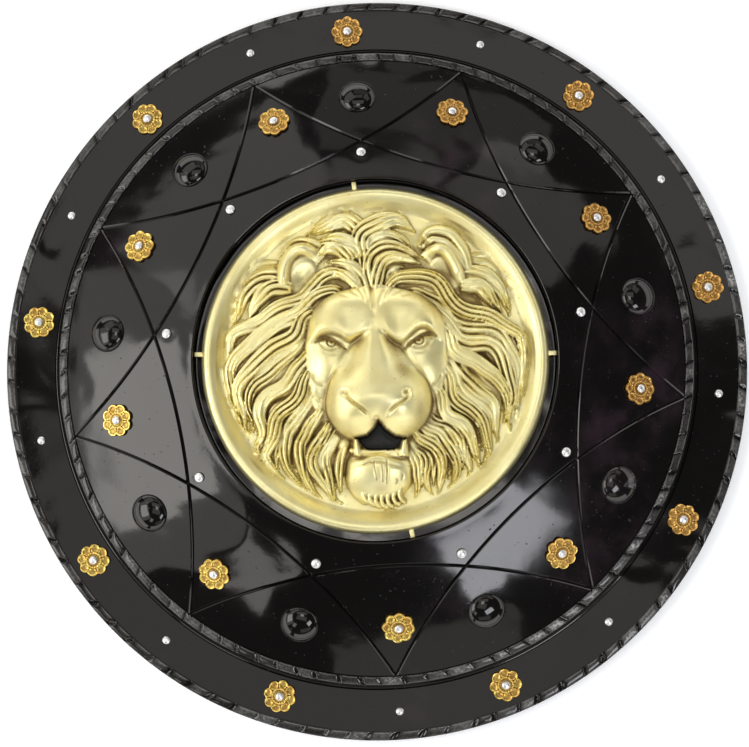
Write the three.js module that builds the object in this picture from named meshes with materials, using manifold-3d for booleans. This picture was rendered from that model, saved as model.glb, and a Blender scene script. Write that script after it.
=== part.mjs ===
// Round shield: a dished, black lacquered body with a brass lion's head medallion, gilt rosettes and nails.
// Units are millimetres. It lies on its rim, face up: +Z is the way the face looks, and +Y points to the top of
// the lion's head.
import * as THREE from "three";
import { mergeVertices } from "three/addons/utils/BufferGeometryUtils.js";
import Module from "manifold-3d";

const wasm = await Module();
wasm.setup();

// Body
const rimRadius = 305;
const bandTop = 8.5; // face of the flat outer band
const bandInner = 264;
const outerBeadRadius = 301.2;
const beadHalfWidth = 3.7;
const beadHeight = 2.6;
const innerBeadRadius = 257;
const rimBackInner = 268; // the flat back of the rim that the shield lies on runs out from here
const fieldCrown = 74.6; // height that the field's curve would reach on the axis
const fieldCurve = 536; // radius of the field's curve
const boardThickness = 9;
const recessRadius = 145;
const recessFloor = 39;
const bossBackRadius = 155; // the thicker turned part behind the medallion

// Star of nine arcs cut into the field
const starPoints = 9;
const starReach = 254; // radius of the star's points
const starWaist = 163.5; // radius where each arc comes nearest the middle
const starTurn = 33.7; // degrees from +X to the middle of the first arc
const grooveWidth = 2.6;
const grooveDepth = 1.3;

// Trim, one entry for each of the nine round the shield, in degrees from +X
const outerRosetteAngles = [13, 53, 95, 133, 173, 215, 254, 292, 333];
const innerRosetteAngles = [354, 33, 73, 113, 154, 193, 233, 275, 314];
const rimNailAngles = [33, 72, 112, 154, 193, 233, 274, 312, 355];
const collarNailAngles = [13, 53, 94, 134, 173, 214, 254, 294, 334];
const domeAngles = [14, 53, 94, 134, 174, 214, 254, 294, 333];
const outerRosetteRadius = 280.5;
const innerRosetteRadius = 213;
const rimNailRadius = 282;
const collarNailRadius = 168;
const domeRingRadius = 219;
const domeRadius = 14.5;
const domeHeight = 8.5;
const rosetteRadius = 13;
const rosetteHeight = 2.8;
const rosetteSeat = 2.2; // height of the petals under a nail's rim
const petalCount = 8;
const nailRadius = 3.9;
const nailHeight = 2.6;
const gap = 0.3; // between pieces that touch

// Medallion
const medallionRadius = 138.5;
const medallionFoot = recessFloor + gap;
const medallionLip = 54.5; // top of the rolled outer lip
const dishFloor = 47; // ground behind the mane
const dishRadius = 119;
const tabAngles = [2, 97, 178.5, 282];
const tabWidth = 5;
const tabThickness = 3.2;

// Straps on the back
const strapThickness = 3.6;
const strapDrop = 24; // how far a strap stands off the back at its middle

const materials = {
  lacquer: new THREE.MeshStandardMaterial({ color: 0x1c1a1b, roughness: 0.18, metalness: 0 }),
  brass: new THREE.MeshStandardMaterial({ color: 0xcdb878, roughness: 0.38, metalness: 1 }),
  gilt: new THREE.MeshStandardMaterial({ color: 0xc08f3c, roughness: 0.35, metalness: 1 }),
  silver: new THREE.MeshStandardMaterial({ color: 0xcfcfcf, roughness: 0.2, metalness: 1 }),
  leather: new THREE.MeshStandardMaterial({ color: 0x3a2416, roughness: 0.7, metalness: 0 }),
};

const shield = new THREE.Group();

function radians(degrees) {
  return (degrees * Math.PI) / 180;
}

// Eases from 0 to 1 as the value goes from the first bound to the second, which may be the lower one.
function smoothStep(from, to, value) {
  const share = THREE.MathUtils.clamp((value - from) / (to - from), 0, 1);
  return share * share * (3 - 2 * share);
}

// Height of the field's face at a radius.
function fieldHeight(radius) {
  return fieldCrown - radius ** 2 / (2 * fieldCurve);
}

// A closed surface over a stack of loops of points. A loop of one point is a pole, neighbouring loops may
// differ in count, and each loop runs once round, starting from the same side.
function skin(loops) {
  const positions = loops.flat(2);
  const faces = [];
  let first = 0;
  for (let n = 0; n + 1 < loops.length; n++) {
    const lower = loops[n].length;
    const upper = loops[n + 1].length;
    const second = first + lower;
    let i = 0;
    let j = 0;
    while (i < (lower > 1 ? lower : 0) || j < (upper > 1 ? upper : 0)) {
      const lowerNext = lower > 1 ? (i + 1) / lower : Infinity;
      const upperNext = upper > 1 ? (j + 1) / upper : Infinity;
      if (lowerNext <= upperNext) {
        faces.push(first + (i % lower), first + ((i + 1) % lower), second + (j % upper));
        i += 1;
      } else {
        faces.push(first + (i % lower), second + ((j + 1) % upper), second + (j % upper));
        j += 1;
      }
    }
    first = second;
  }
  const geometry = new THREE.BufferGeometry();
  geometry.setAttribute("position", new THREE.Float32BufferAttribute(positions, 3));
  geometry.setIndex(faces);
  return geometry;
}

function toSolid(geometry) {
  const plain = geometry.clone();
  plain.deleteAttribute("normal");
  plain.deleteAttribute("uv");
  const merged = mergeVertices(plain, 1e-3);
  const vertProperties = new Float32Array(merged.attributes.position.array);
  const triVerts = new Uint32Array(merged.index.array);
  return new wasm.Manifold(new wasm.Mesh({ numProp: 3, vertProperties, triVerts }));
}

function toGeometry(solid) {
  const mesh = solid.getMesh();
  const geometry = new THREE.BufferGeometry();
  geometry.setAttribute("position", new THREE.Float32BufferAttribute(mesh.vertProperties, 3));
  geometry.setIndex([...mesh.triVerts]);
  return geometry;
}

// One round loop, its count of points going once round.
function circle(radius, height, count) {
  if (count === 1) return [[0, 0, height]];
  return Array.from({ length: count }, (_, i) => {
    const turn = (2 * Math.PI * i) / count;
    return [radius * Math.cos(turn), radius * Math.sin(turn), height];
  });
}

function addPiece(name, geometry, material, matrix) {
  geometry.computeVertexNormals();
  const mesh = new THREE.Mesh(geometry, material);
  mesh.name = name;
  if (matrix) mesh.applyMatrix4(matrix);
  shield.add(mesh);
}

// The place of a small piece on the face: at a radius and a turn, its own +Z along the face's normal.
function onFace(radius, degrees, lift) {
  const onField = radius < innerBeadRadius;
  const tilt = onField ? Math.atan(radius / fieldCurve) : 0;
  const height = onField ? fieldHeight(radius) : bandTop;
  const turn = new THREE.Matrix4().makeRotationZ(radians(degrees));
  const out = new THREE.Matrix4().makeTranslation(radius, 0, height);
  const lean = new THREE.Matrix4().makeRotationY(tilt);
  const up = new THREE.Matrix4().makeTranslation(0, 0, lift);
  return turn.multiply(out).multiply(lean).multiply(up);
}

function beadLoops(radius, base, steps, count) {
  return Array.from({ length: steps + 1 }, (_, i) => {
    const turn = (Math.PI * i) / steps;
    const out = radius - beadHalfWidth * Math.cos(turn);
    return circle(out, base + beadHeight * Math.sin(turn), count);
  });
}

function bodyGeometry() {
  const edgeCount = 64;
  const fieldCount = 44;
  const backCount = 32;
  const backHeight = (radius) => fieldHeight(radius) - boardThickness;
  const front = [
    circle(0, recessFloor, 1),
    circle(recessRadius, recessFloor, fieldCount),
    circle(recessRadius, fieldHeight(recessRadius) - 1, fieldCount),
    circle(recessRadius + 1.5, fieldHeight(recessRadius + 1.5), fieldCount),
    ...[182, 220].map((radius) => circle(radius, fieldHeight(radius), fieldCount)),
    ...beadLoops(innerBeadRadius, fieldHeight(innerBeadRadius + beadHalfWidth), 3, fieldCount),
    circle(bandInner, bandTop, edgeCount),
    ...beadLoops(outerBeadRadius, bandTop, 3, edgeCount),
    circle(rimRadius, 1.5, edgeCount),
    circle(rimRadius - 1.5, 0, edgeCount),
  ];
  const back = [
    circle(rimBackInner, 0, backCount),
    circle(235, backHeight(235), backCount),
    circle(195, backHeight(195), backCount),
    circle(bossBackRadius + 3, backHeight(bossBackRadius + 3), backCount),
    circle(bossBackRadius, recessFloor - boardThickness, backCount),
    circle(0, recessFloor - boardThickness, 1),
  ];
  return skin([...front, ...back].reverse());
}

// One V-shaped cutter along a star arc, its middle facing the turn given.
function grooveCutter(degrees) {
  const half = Math.PI / starPoints;
  const halfChord = starReach * Math.sin(2 * half);
  const rise = starReach * Math.cos(2 * half) - starWaist;
  const bend = (halfChord ** 2 + rise ** 2) / (2 * rise);
  const centre = starWaist + bend;
  const sweep = Math.asin(halfChord / bend);
  const stations = 6;
  const loops = [];
  for (let i = 0; i <= stations; i++) {
    const angle = sweep * (1 - (2 * i) / stations);
    const at = (out) => {
      const x = centre - (bend + out) * Math.cos(angle);
      const y = (bend + out) * Math.sin(angle);
      return [x, y, fieldHeight(Math.hypot(x, y))];
    };
    const inner = at(-grooveWidth);
    const outer = at(grooveWidth);
    const bottom = at(0);
    inner[2] += grooveDepth;
    outer[2] += grooveDepth;
    bottom[2] -= grooveDepth;
    loops.push([inner, outer, bottom]);
  }
  const middle = (loop) => [0, 1, 2].map((k) => (loop[0][k] + loop[1][k] + loop[2][k]) / 3);
  const cutter = skin([[middle(loops[0])], ...loops, [middle(loops.at(-1))]]);
  return toSolid(cutter.rotateZ(radians(degrees)));
}

function domeSolid(degrees) {
  const sides = 8;
  const curve = (domeRadius ** 2 + domeHeight ** 2) / (2 * domeHeight);
  const spread = Math.asin(domeRadius / curve);
  const ring = (share) => {
    const angle = spread * share;
    return circle(curve * Math.sin(angle), curve * Math.cos(angle) - curve + domeHeight, sides);
  };
  const foot = -3;
  const loops = [
    circle(0, foot, 1),
    circle(domeRadius, foot, sides),
    ring(1),
    ring(0.62),
    circle(0, domeHeight, 1),
  ];
  return toSolid(skin(loops).applyMatrix4(onFace(domeRingRadius, degrees, 0)));
}

function buildBody() {
  let body = toSolid(bodyGeometry());
  for (let i = 0; i < starPoints; i++) {
    body = body.subtract(grooveCutter(starTurn + (360 * i) / starPoints));
  }
  for (const degrees of domeAngles) body = body.add(domeSolid(degrees));
  addPiece("shield_body", toGeometry(body), materials.lacquer);
}

// The mane, family by family. The locks of a family are spread evenly between its first and its last, each drawn
// from its root to its tip as x, y pairs; half is half a lock's width and rise its height over the ground.
const lockFamilies = [
  // crown, left and right of the parting
  {
    count: 3, half: 8.5, rise: 13,
    first: [-9, 84, -13, 102, -26, 112, -42, 109, -58, 98],
    last: [-6, 48, -12, 68, -22, 77, -33, 78, -46, 75],
  },
  {
    count: 3, half: 8, rise: 13,
    first: [-2, 84, 3, 104, 17, 113, 30, 109, 38, 99],
    last: [3, 50, 7, 70, 17, 80, 28, 79, 42, 77],
  },
  // behind the ears
  { count: 1, half: 9, rise: 11, first: [-40, 82, -56, 92, -72, 89, -91, 79] },
  { count: 1, half: 10, rise: 12, first: [34, 84, 46, 100, 62, 97, 72, 80, 75, 56] },
  // fans beyond the ears
  {
    count: 3, half: 7, rise: 11,
    first: [-66, 74, -97, 72, -117, 52, -118, 22],
    last: [-64, 56, -83, 56, -94, 46, -101, 31],
  },
  {
    count: 3, half: 7, rise: 11,
    first: [66, 78, 88, 79, 105, 60, 109, 34],
    last: [66, 58, 82, 58, 91, 49, 100, 38],
  },
  // long locks from the brow, down the left
  {
    count: 4, half: 7.2, rise: 14,
    first: [-4, 52, -34, 66, -63, 46, -112, 19, -127, -26, -121, -50],
    last: [-48, 26, -60, 13, -75, -2, -92, -18, -99, -40, -110, -71],
  },
  {
    count: 4, half: 6.2, rise: 14,
    first: [-50, 10, -60, -8, -76, -24, -91, -46, -92, -68, -88, -90],
    last: [-40, -36, -47, -48, -56, -61, -60, -74, -54, -94, -44, -115],
  },
  {
    count: 3, half: 4.8, rise: 14,
    first: [-34, -48, -41, -61, -47, -74, -45, -90, -41, -102, -34, -113],
    last: [-22, -68, -25, -74, -28, -82, -30, -90, -28, -99, -26, -106],
  },
  // and down the right
  {
    count: 4, half: 7.2, rise: 14,
    first: [4, 50, 30, 67, 60, 48, 96, 31, 121, 2, 124, -30],
    last: [47, 30, 60, 14, 78, -4, 97, -14, 103, -32, 103, -50],
  },
  {
    count: 4, half: 6.4, rise: 14,
    first: [50, 14, 62, -3, 77, -19, 92, -34, 94, -50, 101, -68],
    last: [40, -36, 50, -51, 62, -58, 70, -68, 72, -82, 75, -97],
  },
  {
    count: 4, half: 4.8, rise: 14,
    first: [34, -48, 43, -58, 54, -64, 61, -77, 62, -92, 61, -104],
    last: [25, -70, 28, -76, 32, -84, 34, -92, 33, -101, 30, -109],
  },
];

// Every lock of the mane, its middle line drawn out from the two ends of its family.
function drawLocks() {
  const locks = [];
  for (const { count, half, rise, first, last = first } of lockFamilies) {
    for (let n = 0; n < count; n++) {
      const share = n / Math.max(1, count - 1);
      const way = first.map((value, i) => THREE.MathUtils.lerp(value, last[i], share));
      const points = [];
      for (let i = 0; i < way.length; i += 2) points.push(new THREE.Vector3(way[i], way[i + 1], 0));
      locks.push({ half, rise, line: new THREE.CatmullRomCurve3(points).getPoints(24) });
    }
  }
  return locks;
}

const locks = drawLocks();

// Where a place lies on a lock: its share of the length, and its distance from the middle over the half width.
function placeOnLock(lock, x, y) {
  const here = new THREE.Vector3(x, y, 0);
  const nearest = new THREE.Vector3();
  const line = new THREE.Line3();
  let best = Infinity;
  let share = 0;
  for (let i = 0; i + 1 < lock.line.length; i++) {
    line.set(lock.line[i], lock.line[i + 1]);
    const along = line.closestPointToPointParameter(here, true);
    const far = line.at(along, nearest).distanceTo(here);
    if (far < best) {
      best = far;
      share = (i + along) / (lock.line.length - 1);
    }
  }
  const taper = Math.min(1, 0.6 + 2 * share) * (1 - 0.8 * smoothStep(0.5, 1, share));
  return { share, across: best / (1.12 * lock.half * taper) };
}

// A rounded swelling over an oval turned about its middle: one there, and zero from its edge out.
function swell(x, y, centreX, centreY, halfX, halfY, fullness = 0.5, turn = 0) {
  const across = (x - centreX) * Math.cos(turn) + (y - centreY) * Math.sin(turn);
  const along = (y - centreY) * Math.cos(turn) - (x - centreX) * Math.sin(turn);
  return Math.max(0, 1 - (across / halfX) ** 2 - (along / halfY) ** 2) ** fullness;
}

// The higher of two heights, with the crease between them filled over the blend.
function smoothMax(a, b, blend) {
  return (a + b + Math.hypot(a - b, blend)) / 2;
}

function dishHeight(radius) {
  const lip = 133;
  if (radius > lip) return medallionLip - 5 * ((radius - lip) / (medallionRadius - lip)) ** 2;
  const down = smoothStep(0, 1, (lip - radius) / (lip - dishRadius));
  return THREE.MathUtils.lerp(medallionLip, dishFloor, down);
}

function maneHeight(x, y) {
  let height = 0;
  for (const lock of locks) {
    const { share, across } = placeOnLock(lock, x, y);
    if (across >= 1) continue;
    const fall = lock.rise * 0.42 * smoothStep(0.5, 1, share);
    const root = 7 * (1 - smoothStep(0, 0.07, share));
    height = Math.max(height, dishFloor + lock.rise - fall - root - 6 * across ** 2.2);
  }
  return height;
}

function earHeight(x, y, side) {
  const [middleX, middleY, turn] = side < 0 ? [-60.5, 68, -0.32] : [58.5, 69, 0.42];
  const shell = swell(x, y, middleX, middleY, 13.5, 21, 0.35, turn);
  const bowl = swell(x, y, middleX + side * 0.5, middleY - 4, 8.5, 16, 0.9, turn);
  return shell > 0 ? dishFloor + 4 + 13 * shell - 10 * bowl : 0;
}

// Brow, forehead, eye socket, eye, cheek, lip and the hollow beside the nose, on one side of the face.
function featureHeight(x, y, side) {
  return (
    8 * swell(x, y, side * 25, 27, 31, 14, 1.5, side * 0.32) +
    3 * swell(x, y, side * 22, 42, 30, 22, 1.6, side * 0.2) -
    9 * swell(x, y, side * 32, 12, 19, 11.5, 1.4, side * 0.36) +
    5 * swell(x, y, side * 34, 13, 10, 6.2, 0.8, side * 0.25) +
    4 * swell(x, y, side * 41, -5, 20, 22, 1.5) +
    4.5 * swell(x, y, side * 21, -46, 26, 20, 1.2) -
    3 * swell(x, y, side * 27, -14, 13, 20, 1.5, -side * 0.3)
  );
}

function faceHeight(x, y) {
  const skull = swell(x, y, 0, 6, 55.5, 59, 0.34);
  const jaw = swell(x, y, 0, -22, 49, 43, 0.4);
  const muzzle = swell(x, y, 1.5, -31, 44, 39, 0.55);
  if (skull + jaw + muzzle === 0) return 0;
  const base = smoothMax(dishFloor + 6 + 16 * skull, dishFloor + 3 + 15 * jaw, 1.5);
  const bridgeHalf = 10.5 + 0.19 * (32 - y);
  const bridgeEnds = smoothStep(62, 22, y) * smoothStep(-50, -34, y);
  const bridge = Math.exp(-(Math.abs(x / bridgeHalf) ** 3.2)) * bridgeEnds;
  const noseEnd = swell(x, y, 1, -32, 26, 19, 1.3);
  const features = featureHeight(x, y, -1) + featureHeight(x, y, 1) + 7.5 * bridge + 5.5 * noseEnd;
  return smoothMax(base, dishFloor + 7 + 26 * muzzle, 2.5) + features;
}

function chinHeight(x, y) {
  const chin = swell(x, y, 2.5, -91, 27, 18.5, 0.4);
  const lip = swell(x, y, 2, -77, 27, 5.5, 0.5);
  const beard = swell(x, y, 11, -112, 11, 8, 0.5);
  return Math.max(
    chin > 0 ? dishFloor + 2 + 17 * chin : 0,
    lip > 0 ? dishFloor + 12 + 5.5 * lip : 0,
    beard > 0 ? dishFloor + 1 + 6 * beard : 0,
  );
}

function insideMouth(x, y) {
  const out = Math.abs(x - 1) / 21.5;
  const upperLip = -50 - 13.5 * Math.min(1, out) ** 0.75;
  const lowerLip = -72.5 + 8.5 * Math.min(1, out) ** 5;
  return out < 1 && y < upperLip && y > lowerLip;
}

function fangHeight(x, y) {
  const fang = Math.max(swell(x, y, -15.5, -70, 3.4, 8, 0.5), swell(x, y, 21, -69, 3.6, 8.5, 0.5));
  return fang > 0 ? dishFloor + 5 + 9 * fang : 0;
}

function reliefHeight(x, y) {
  const radius = Math.hypot(x, y);
  if (insideMouth(x, y)) return Math.max(medallionFoot + 5, fangHeight(x, y));
  const ears = Math.max(earHeight(x, y, -1), earHeight(x, y, 1));
  const mound = dishFloor + 8 * (1 - smoothStep(76, 112, radius));
  const head = Math.max(faceHeight(x, y), chinHeight(x, y), fangHeight(x, y));
  return Math.max(dishHeight(radius), mound, maneHeight(x, y), ears, head);
}

// The relief evened out over the spacing of the solid's own facets.
function evenHeight(x, y) {
  const spread = 2;
  const places = [[0, 0], [spread, 0], [-spread, 0], [0, spread], [0, -spread]];
  const total = places.reduce((sum, [dx, dy]) => sum + reliefHeight(x + dx, y + dy), 0);
  return total / places.length;
}

function medallionGeometry() {
  const reliefRings = 17;
  const edgeCount = 96;
  const front = [[[0, 0, reliefHeight(0, 0)]]];
  for (let ring = 1; ring <= reliefRings; ring++) {
    const flat = circle((dishRadius * ring) / reliefRings, 0, 6 * ring);
    front.push(flat.map(([x, y]) => [x, y, evenHeight(x, y)]));
  }
  for (const radius of [126, 132, 136, medallionRadius]) {
    front.push(circle(radius, dishHeight(radius), edgeCount));
  }
  const back = [
    circle(medallionRadius, medallionFoot, edgeCount),
    circle(126, medallionFoot, 36),
    circle(95, medallionFoot + 4, 24),
    circle(0, medallionFoot + 3, 1),
  ];
  return skin([...front, ...back].reverse());
}

function buildMedallion() {
  let medallion = toSolid(medallionGeometry());
  for (const degrees of tabAngles) {
    const start = medallionRadius - 4;
    const length = recessRadius - gap - 0.4 - start;
    const tab = new THREE.BoxGeometry(length, tabWidth, tabThickness);
    tab.translate(start + length / 2, 0, medallionLip - 5.5).rotateZ(radians(degrees));
    medallion = medallion.add(toSolid(tab));
  }
  addPiece("lion_medallion", toGeometry(medallion), materials.brass);
}

// A stamped rosette of round petals, its back flat at height zero.
function rosetteGeometry() {
  const count = 2 * petalCount;
  const lobed = (radius, height, notch, dip) =>
    circle(radius, height, count).map(([x, y, z], i) => {
      const onTip = i % 2 === 0;
      const share = onTip ? 1 : notch;
      return [x * share, y * share, onTip ? z : z - dip];
    });
  return skin([
    circle(0, 0, 1),
    lobed(rosetteRadius, 0, 0.86, 0),
    lobed(rosetteRadius, 1.6, 0.86, 0.6),
    lobed(9, rosetteHeight, 0.95, 1.1),
    circle(0, 1.8, 1),
  ]);
}

// A round nail head, its underside flat at height zero.
function nailGeometry(radius, height) {
  const sides = 6;
  return skin([
    circle(0, 0, 1),
    circle(radius, 0, sides),
    circle(0.72 * radius, 0.72 * height, sides),
    circle(0, height, 1),
  ]);
}

function buildTrim() {
  const settle = 0.25; // more lift where a flat back lies on the curved field
  const rings = [
    { name: "outer_rosette", angles: outerRosetteAngles, radius: outerRosetteRadius, lift: gap },
    { name: "inner_rosette", angles: innerRosetteAngles, radius: innerRosetteRadius, lift: gap + settle },
  ];
  for (const ring of rings) {
    ring.angles.forEach((degrees, i) => {
      const place = onFace(ring.radius, degrees, ring.lift);
      addPiece(`${ring.name}_${i + 1}`, rosetteGeometry(), materials.gilt, place);
      const onTop = onFace(ring.radius, degrees, ring.lift + rosetteSeat + gap);
      addPiece(`${ring.name}_nail_${i + 1}`, nailGeometry(3.4, 2.2), materials.silver, onTop);
    });
  }
  rimNailAngles.forEach((degrees, i) => {
    const place = onFace(rimNailRadius, degrees, gap);
    addPiece(`rim_nail_${i + 1}`, nailGeometry(3.4, nailHeight), materials.silver, place);
  });
  collarNailAngles.forEach((degrees, i) => {
    const place = onFace(collarNailRadius, degrees, gap);
    addPiece(`collar_nail_${i + 1}`, nailGeometry(nailRadius, nailHeight), materials.silver, place);
  });
}

// A leather strap bowed off the back, with a rivet head fused at each end.
function strapGeometry(length, width) {
  const footLength = 26;
  const reach = length / 2;
  const stations = 12;
  const top = recessFloor - boardThickness - gap;
  const loops = [];
  for (let i = 0; i <= stations; i++) {
    const x = reach * (1 - (2 * i) / stations);
    const upper = top - strapDrop * smoothStep(reach - footLength, reach * 0.25, Math.abs(x));
    const lower = upper - strapThickness;
    const side = width / 2;
    loops.push([[x, side, lower], [x, -side, lower], [x, -side, upper], [x, side, upper]]);
  }
  const end = (x) => [[x, 0, top - strapThickness / 2]];
  let strap = toSolid(skin([end(reach), ...loops, end(-reach)]));
  for (const side of [-1, 1]) {
    const rivet = new THREE.CylinderGeometry(4.5, 5.5, 3, 8).rotateX(-Math.PI / 2);
    rivet.translate(side * (reach - footLength / 2), 0, top - strapThickness - 1);
    strap = strap.add(toSolid(rivet));
  }
  return toGeometry(strap);
}

function buildStraps() {
  const armStrap = strapGeometry(230, 45).translate(0, 55, 0);
  const handGrip = strapGeometry(170, 30).translate(0, -62, 0);
  addPiece("arm_strap", armStrap, materials.leather);
  addPiece("hand_grip", handGrip, materials.leather);
}

buildBody();
buildMedallion();
buildTrim();
buildStraps();

export default shield;
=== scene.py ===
import math
from random import Random

import bmesh
import bpy
import numpy as np
from mathutils import Matrix, Vector


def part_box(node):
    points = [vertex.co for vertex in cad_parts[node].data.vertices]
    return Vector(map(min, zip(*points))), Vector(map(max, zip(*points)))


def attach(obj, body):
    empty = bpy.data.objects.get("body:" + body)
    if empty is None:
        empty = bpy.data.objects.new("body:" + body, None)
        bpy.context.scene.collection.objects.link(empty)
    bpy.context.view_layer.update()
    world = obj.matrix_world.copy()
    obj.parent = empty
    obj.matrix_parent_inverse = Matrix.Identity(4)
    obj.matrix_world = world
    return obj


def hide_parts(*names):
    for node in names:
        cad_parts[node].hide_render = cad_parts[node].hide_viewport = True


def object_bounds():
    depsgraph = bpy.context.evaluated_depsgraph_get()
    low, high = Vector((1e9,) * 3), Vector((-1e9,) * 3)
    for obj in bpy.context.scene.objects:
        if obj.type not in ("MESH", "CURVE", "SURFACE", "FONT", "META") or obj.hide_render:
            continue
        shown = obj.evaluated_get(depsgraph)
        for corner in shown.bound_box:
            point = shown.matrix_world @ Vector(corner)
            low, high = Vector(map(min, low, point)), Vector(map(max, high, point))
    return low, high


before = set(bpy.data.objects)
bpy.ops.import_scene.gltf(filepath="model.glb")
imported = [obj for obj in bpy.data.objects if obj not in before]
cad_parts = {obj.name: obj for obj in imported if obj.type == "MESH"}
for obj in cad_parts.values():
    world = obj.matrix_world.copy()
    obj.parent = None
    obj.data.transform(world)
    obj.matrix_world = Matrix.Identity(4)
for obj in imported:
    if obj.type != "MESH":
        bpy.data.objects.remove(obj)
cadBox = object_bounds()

mm = 0.001
context = bpy.context
print("frame loaded:", len(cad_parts), "nodes")


# small helpers

def deselectAll():
    bpy.ops.object.select_all(action="DESELECT")


def work(piece):  # make one object the selected and active one
    deselectAll()
    piece.select_set(True)
    context.view_layer.objects.active = piece
    return piece


def newPiece(name, vertices, faces, edges=()):  # sizes come in mm
    mesh = bpy.data.meshes.new(name)
    mesh.from_pydata([Vector(v) * mm for v in vertices], edges, faces)
    piece = bpy.data.objects.new(name, mesh)
    context.collection.objects.link(piece)
    return work(piece)


def editAll():
    bpy.ops.object.mode_set(mode="EDIT")
    bpy.ops.mesh.select_all(action="SELECT")


def leaveEdit():
    bpy.ops.object.mode_set(mode="OBJECT")


def cleanUp(piece, merge=0.01):  # merge doubles and turn the faces out
    work(piece)
    editAll()
    bpy.ops.mesh.remove_doubles(threshold=merge * mm)
    bpy.ops.mesh.normals_make_consistent(inside=False)
    leaveEdit()


def turned(name, profile, steps):  # a profile of (radius, height) spun round the axis
    points = [(r, 0, z) for r, z in profile]
    piece = newPiece(name, points, [], [(i, i + 1) for i in range(len(points) - 1)])
    editAll()
    bpy.ops.mesh.spin(steps=steps, angle=2 * math.pi, center=(0, 0, 0), axis=(0, 0, 1))
    leaveEdit()
    cleanUp(piece, 0.002)
    return piece


def joinPieces(pieces):
    deselectAll()
    for piece in pieces:
        piece.select_set(True)
    context.view_layer.objects.active = pieces[0]
    bpy.ops.object.join()
    return pieces[0]


def finishModifier(piece, kind, **settings):
    work(piece)
    modifier = piece.modifiers.new(kind.title(), kind)
    for key, value in settings.items():
        setattr(modifier, key, value)
    bpy.ops.object.modifier_apply(modifier=modifier.name)


def combine(piece, tool, operation):
    finishModifier(piece, "BOOLEAN", object=tool, operation=operation, solver="EXACT")
    bpy.data.objects.remove(tool)


def fillSlits(piece, sides=6):  # hair-thin slits that a cut can leave
    work(piece)
    editAll()
    bpy.ops.mesh.select_mode(type="EDGE")
    bpy.ops.mesh.select_all(action="DESELECT")
    bpy.ops.mesh.select_non_manifold()
    bpy.ops.mesh.fill_holes(sides=sides)
    leaveEdit()


def smooth(piece, degrees):
    work(piece)
    bpy.ops.object.shade_smooth_by_angle(angle=math.radians(degrees))


def dress(piece, degrees, *materials):  # its materials, and smooth shading up to an angle
    piece.data.materials.clear()
    for material in materials:
        piece.data.materials.append(material)
    smooth(piece, degrees)


def copyOf(pattern, name, matrix):  # each copy has its own mesh, and its place is in that mesh
    piece = bpy.data.objects.new(name, pattern.data.copy())
    piece.data.name = name
    piece.data.transform(matrix)
    context.collection.objects.link(piece)
    return piece


def hand(piece, nodes):  # hand the piece over to the frame
    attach(piece, "root")
    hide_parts(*nodes)


def spun(degrees):  # a turn round the shield's axis
    return Matrix.Rotation(math.radians(degrees), 4, "Z")


def readPoints(piece):
    points = np.empty(len(piece.data.vertices) * 3)
    piece.data.vertices.foreach_get("co", points)
    return points.reshape(-1, 3) / mm


def writePoints(piece, points):
    piece.data.vertices.foreach_set("co", (points * mm).ravel())
    piece.data.update()


def paint(piece, name, values):  # one number for every vertex, for the materials
    attribute = piece.data.attributes.new(name, "FLOAT", "POINT")
    attribute.data.foreach_set("value", np.asarray(values, dtype=np.float32))


def openEdges(piece):  # how many edges don't have a face on each side
    shape = bmesh.new()
    shape.from_mesh(piece.data)
    count = sum(1 for edge in shape.edges if len(edge.link_faces) != 2)
    shape.free()
    return count


def ease(start, end, value):  # 0 to 1 as value goes from start to end
    share = np.clip((value - start) / (end - start), 0, 1)
    return share * share * (3 - 2 * share)


# shader maths

class Wire:
    def __init__(self, finish, socket):
        self.finish, self.socket = finish, socket

    def maths(self, operation, first, second):
        return self.finish.node("ShaderNodeMath", {"operation": operation}, {0: first, 1: second})

    def __add__(self, other):
        return self.maths("ADD", self, other)

    def __sub__(self, other):
        return self.maths("SUBTRACT", self, other)

    def __rsub__(self, other):
        return self.maths("SUBTRACT", other, self)

    def __mul__(self, other):
        return self.maths("MULTIPLY", self, other)

    __radd__ = __add__


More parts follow.
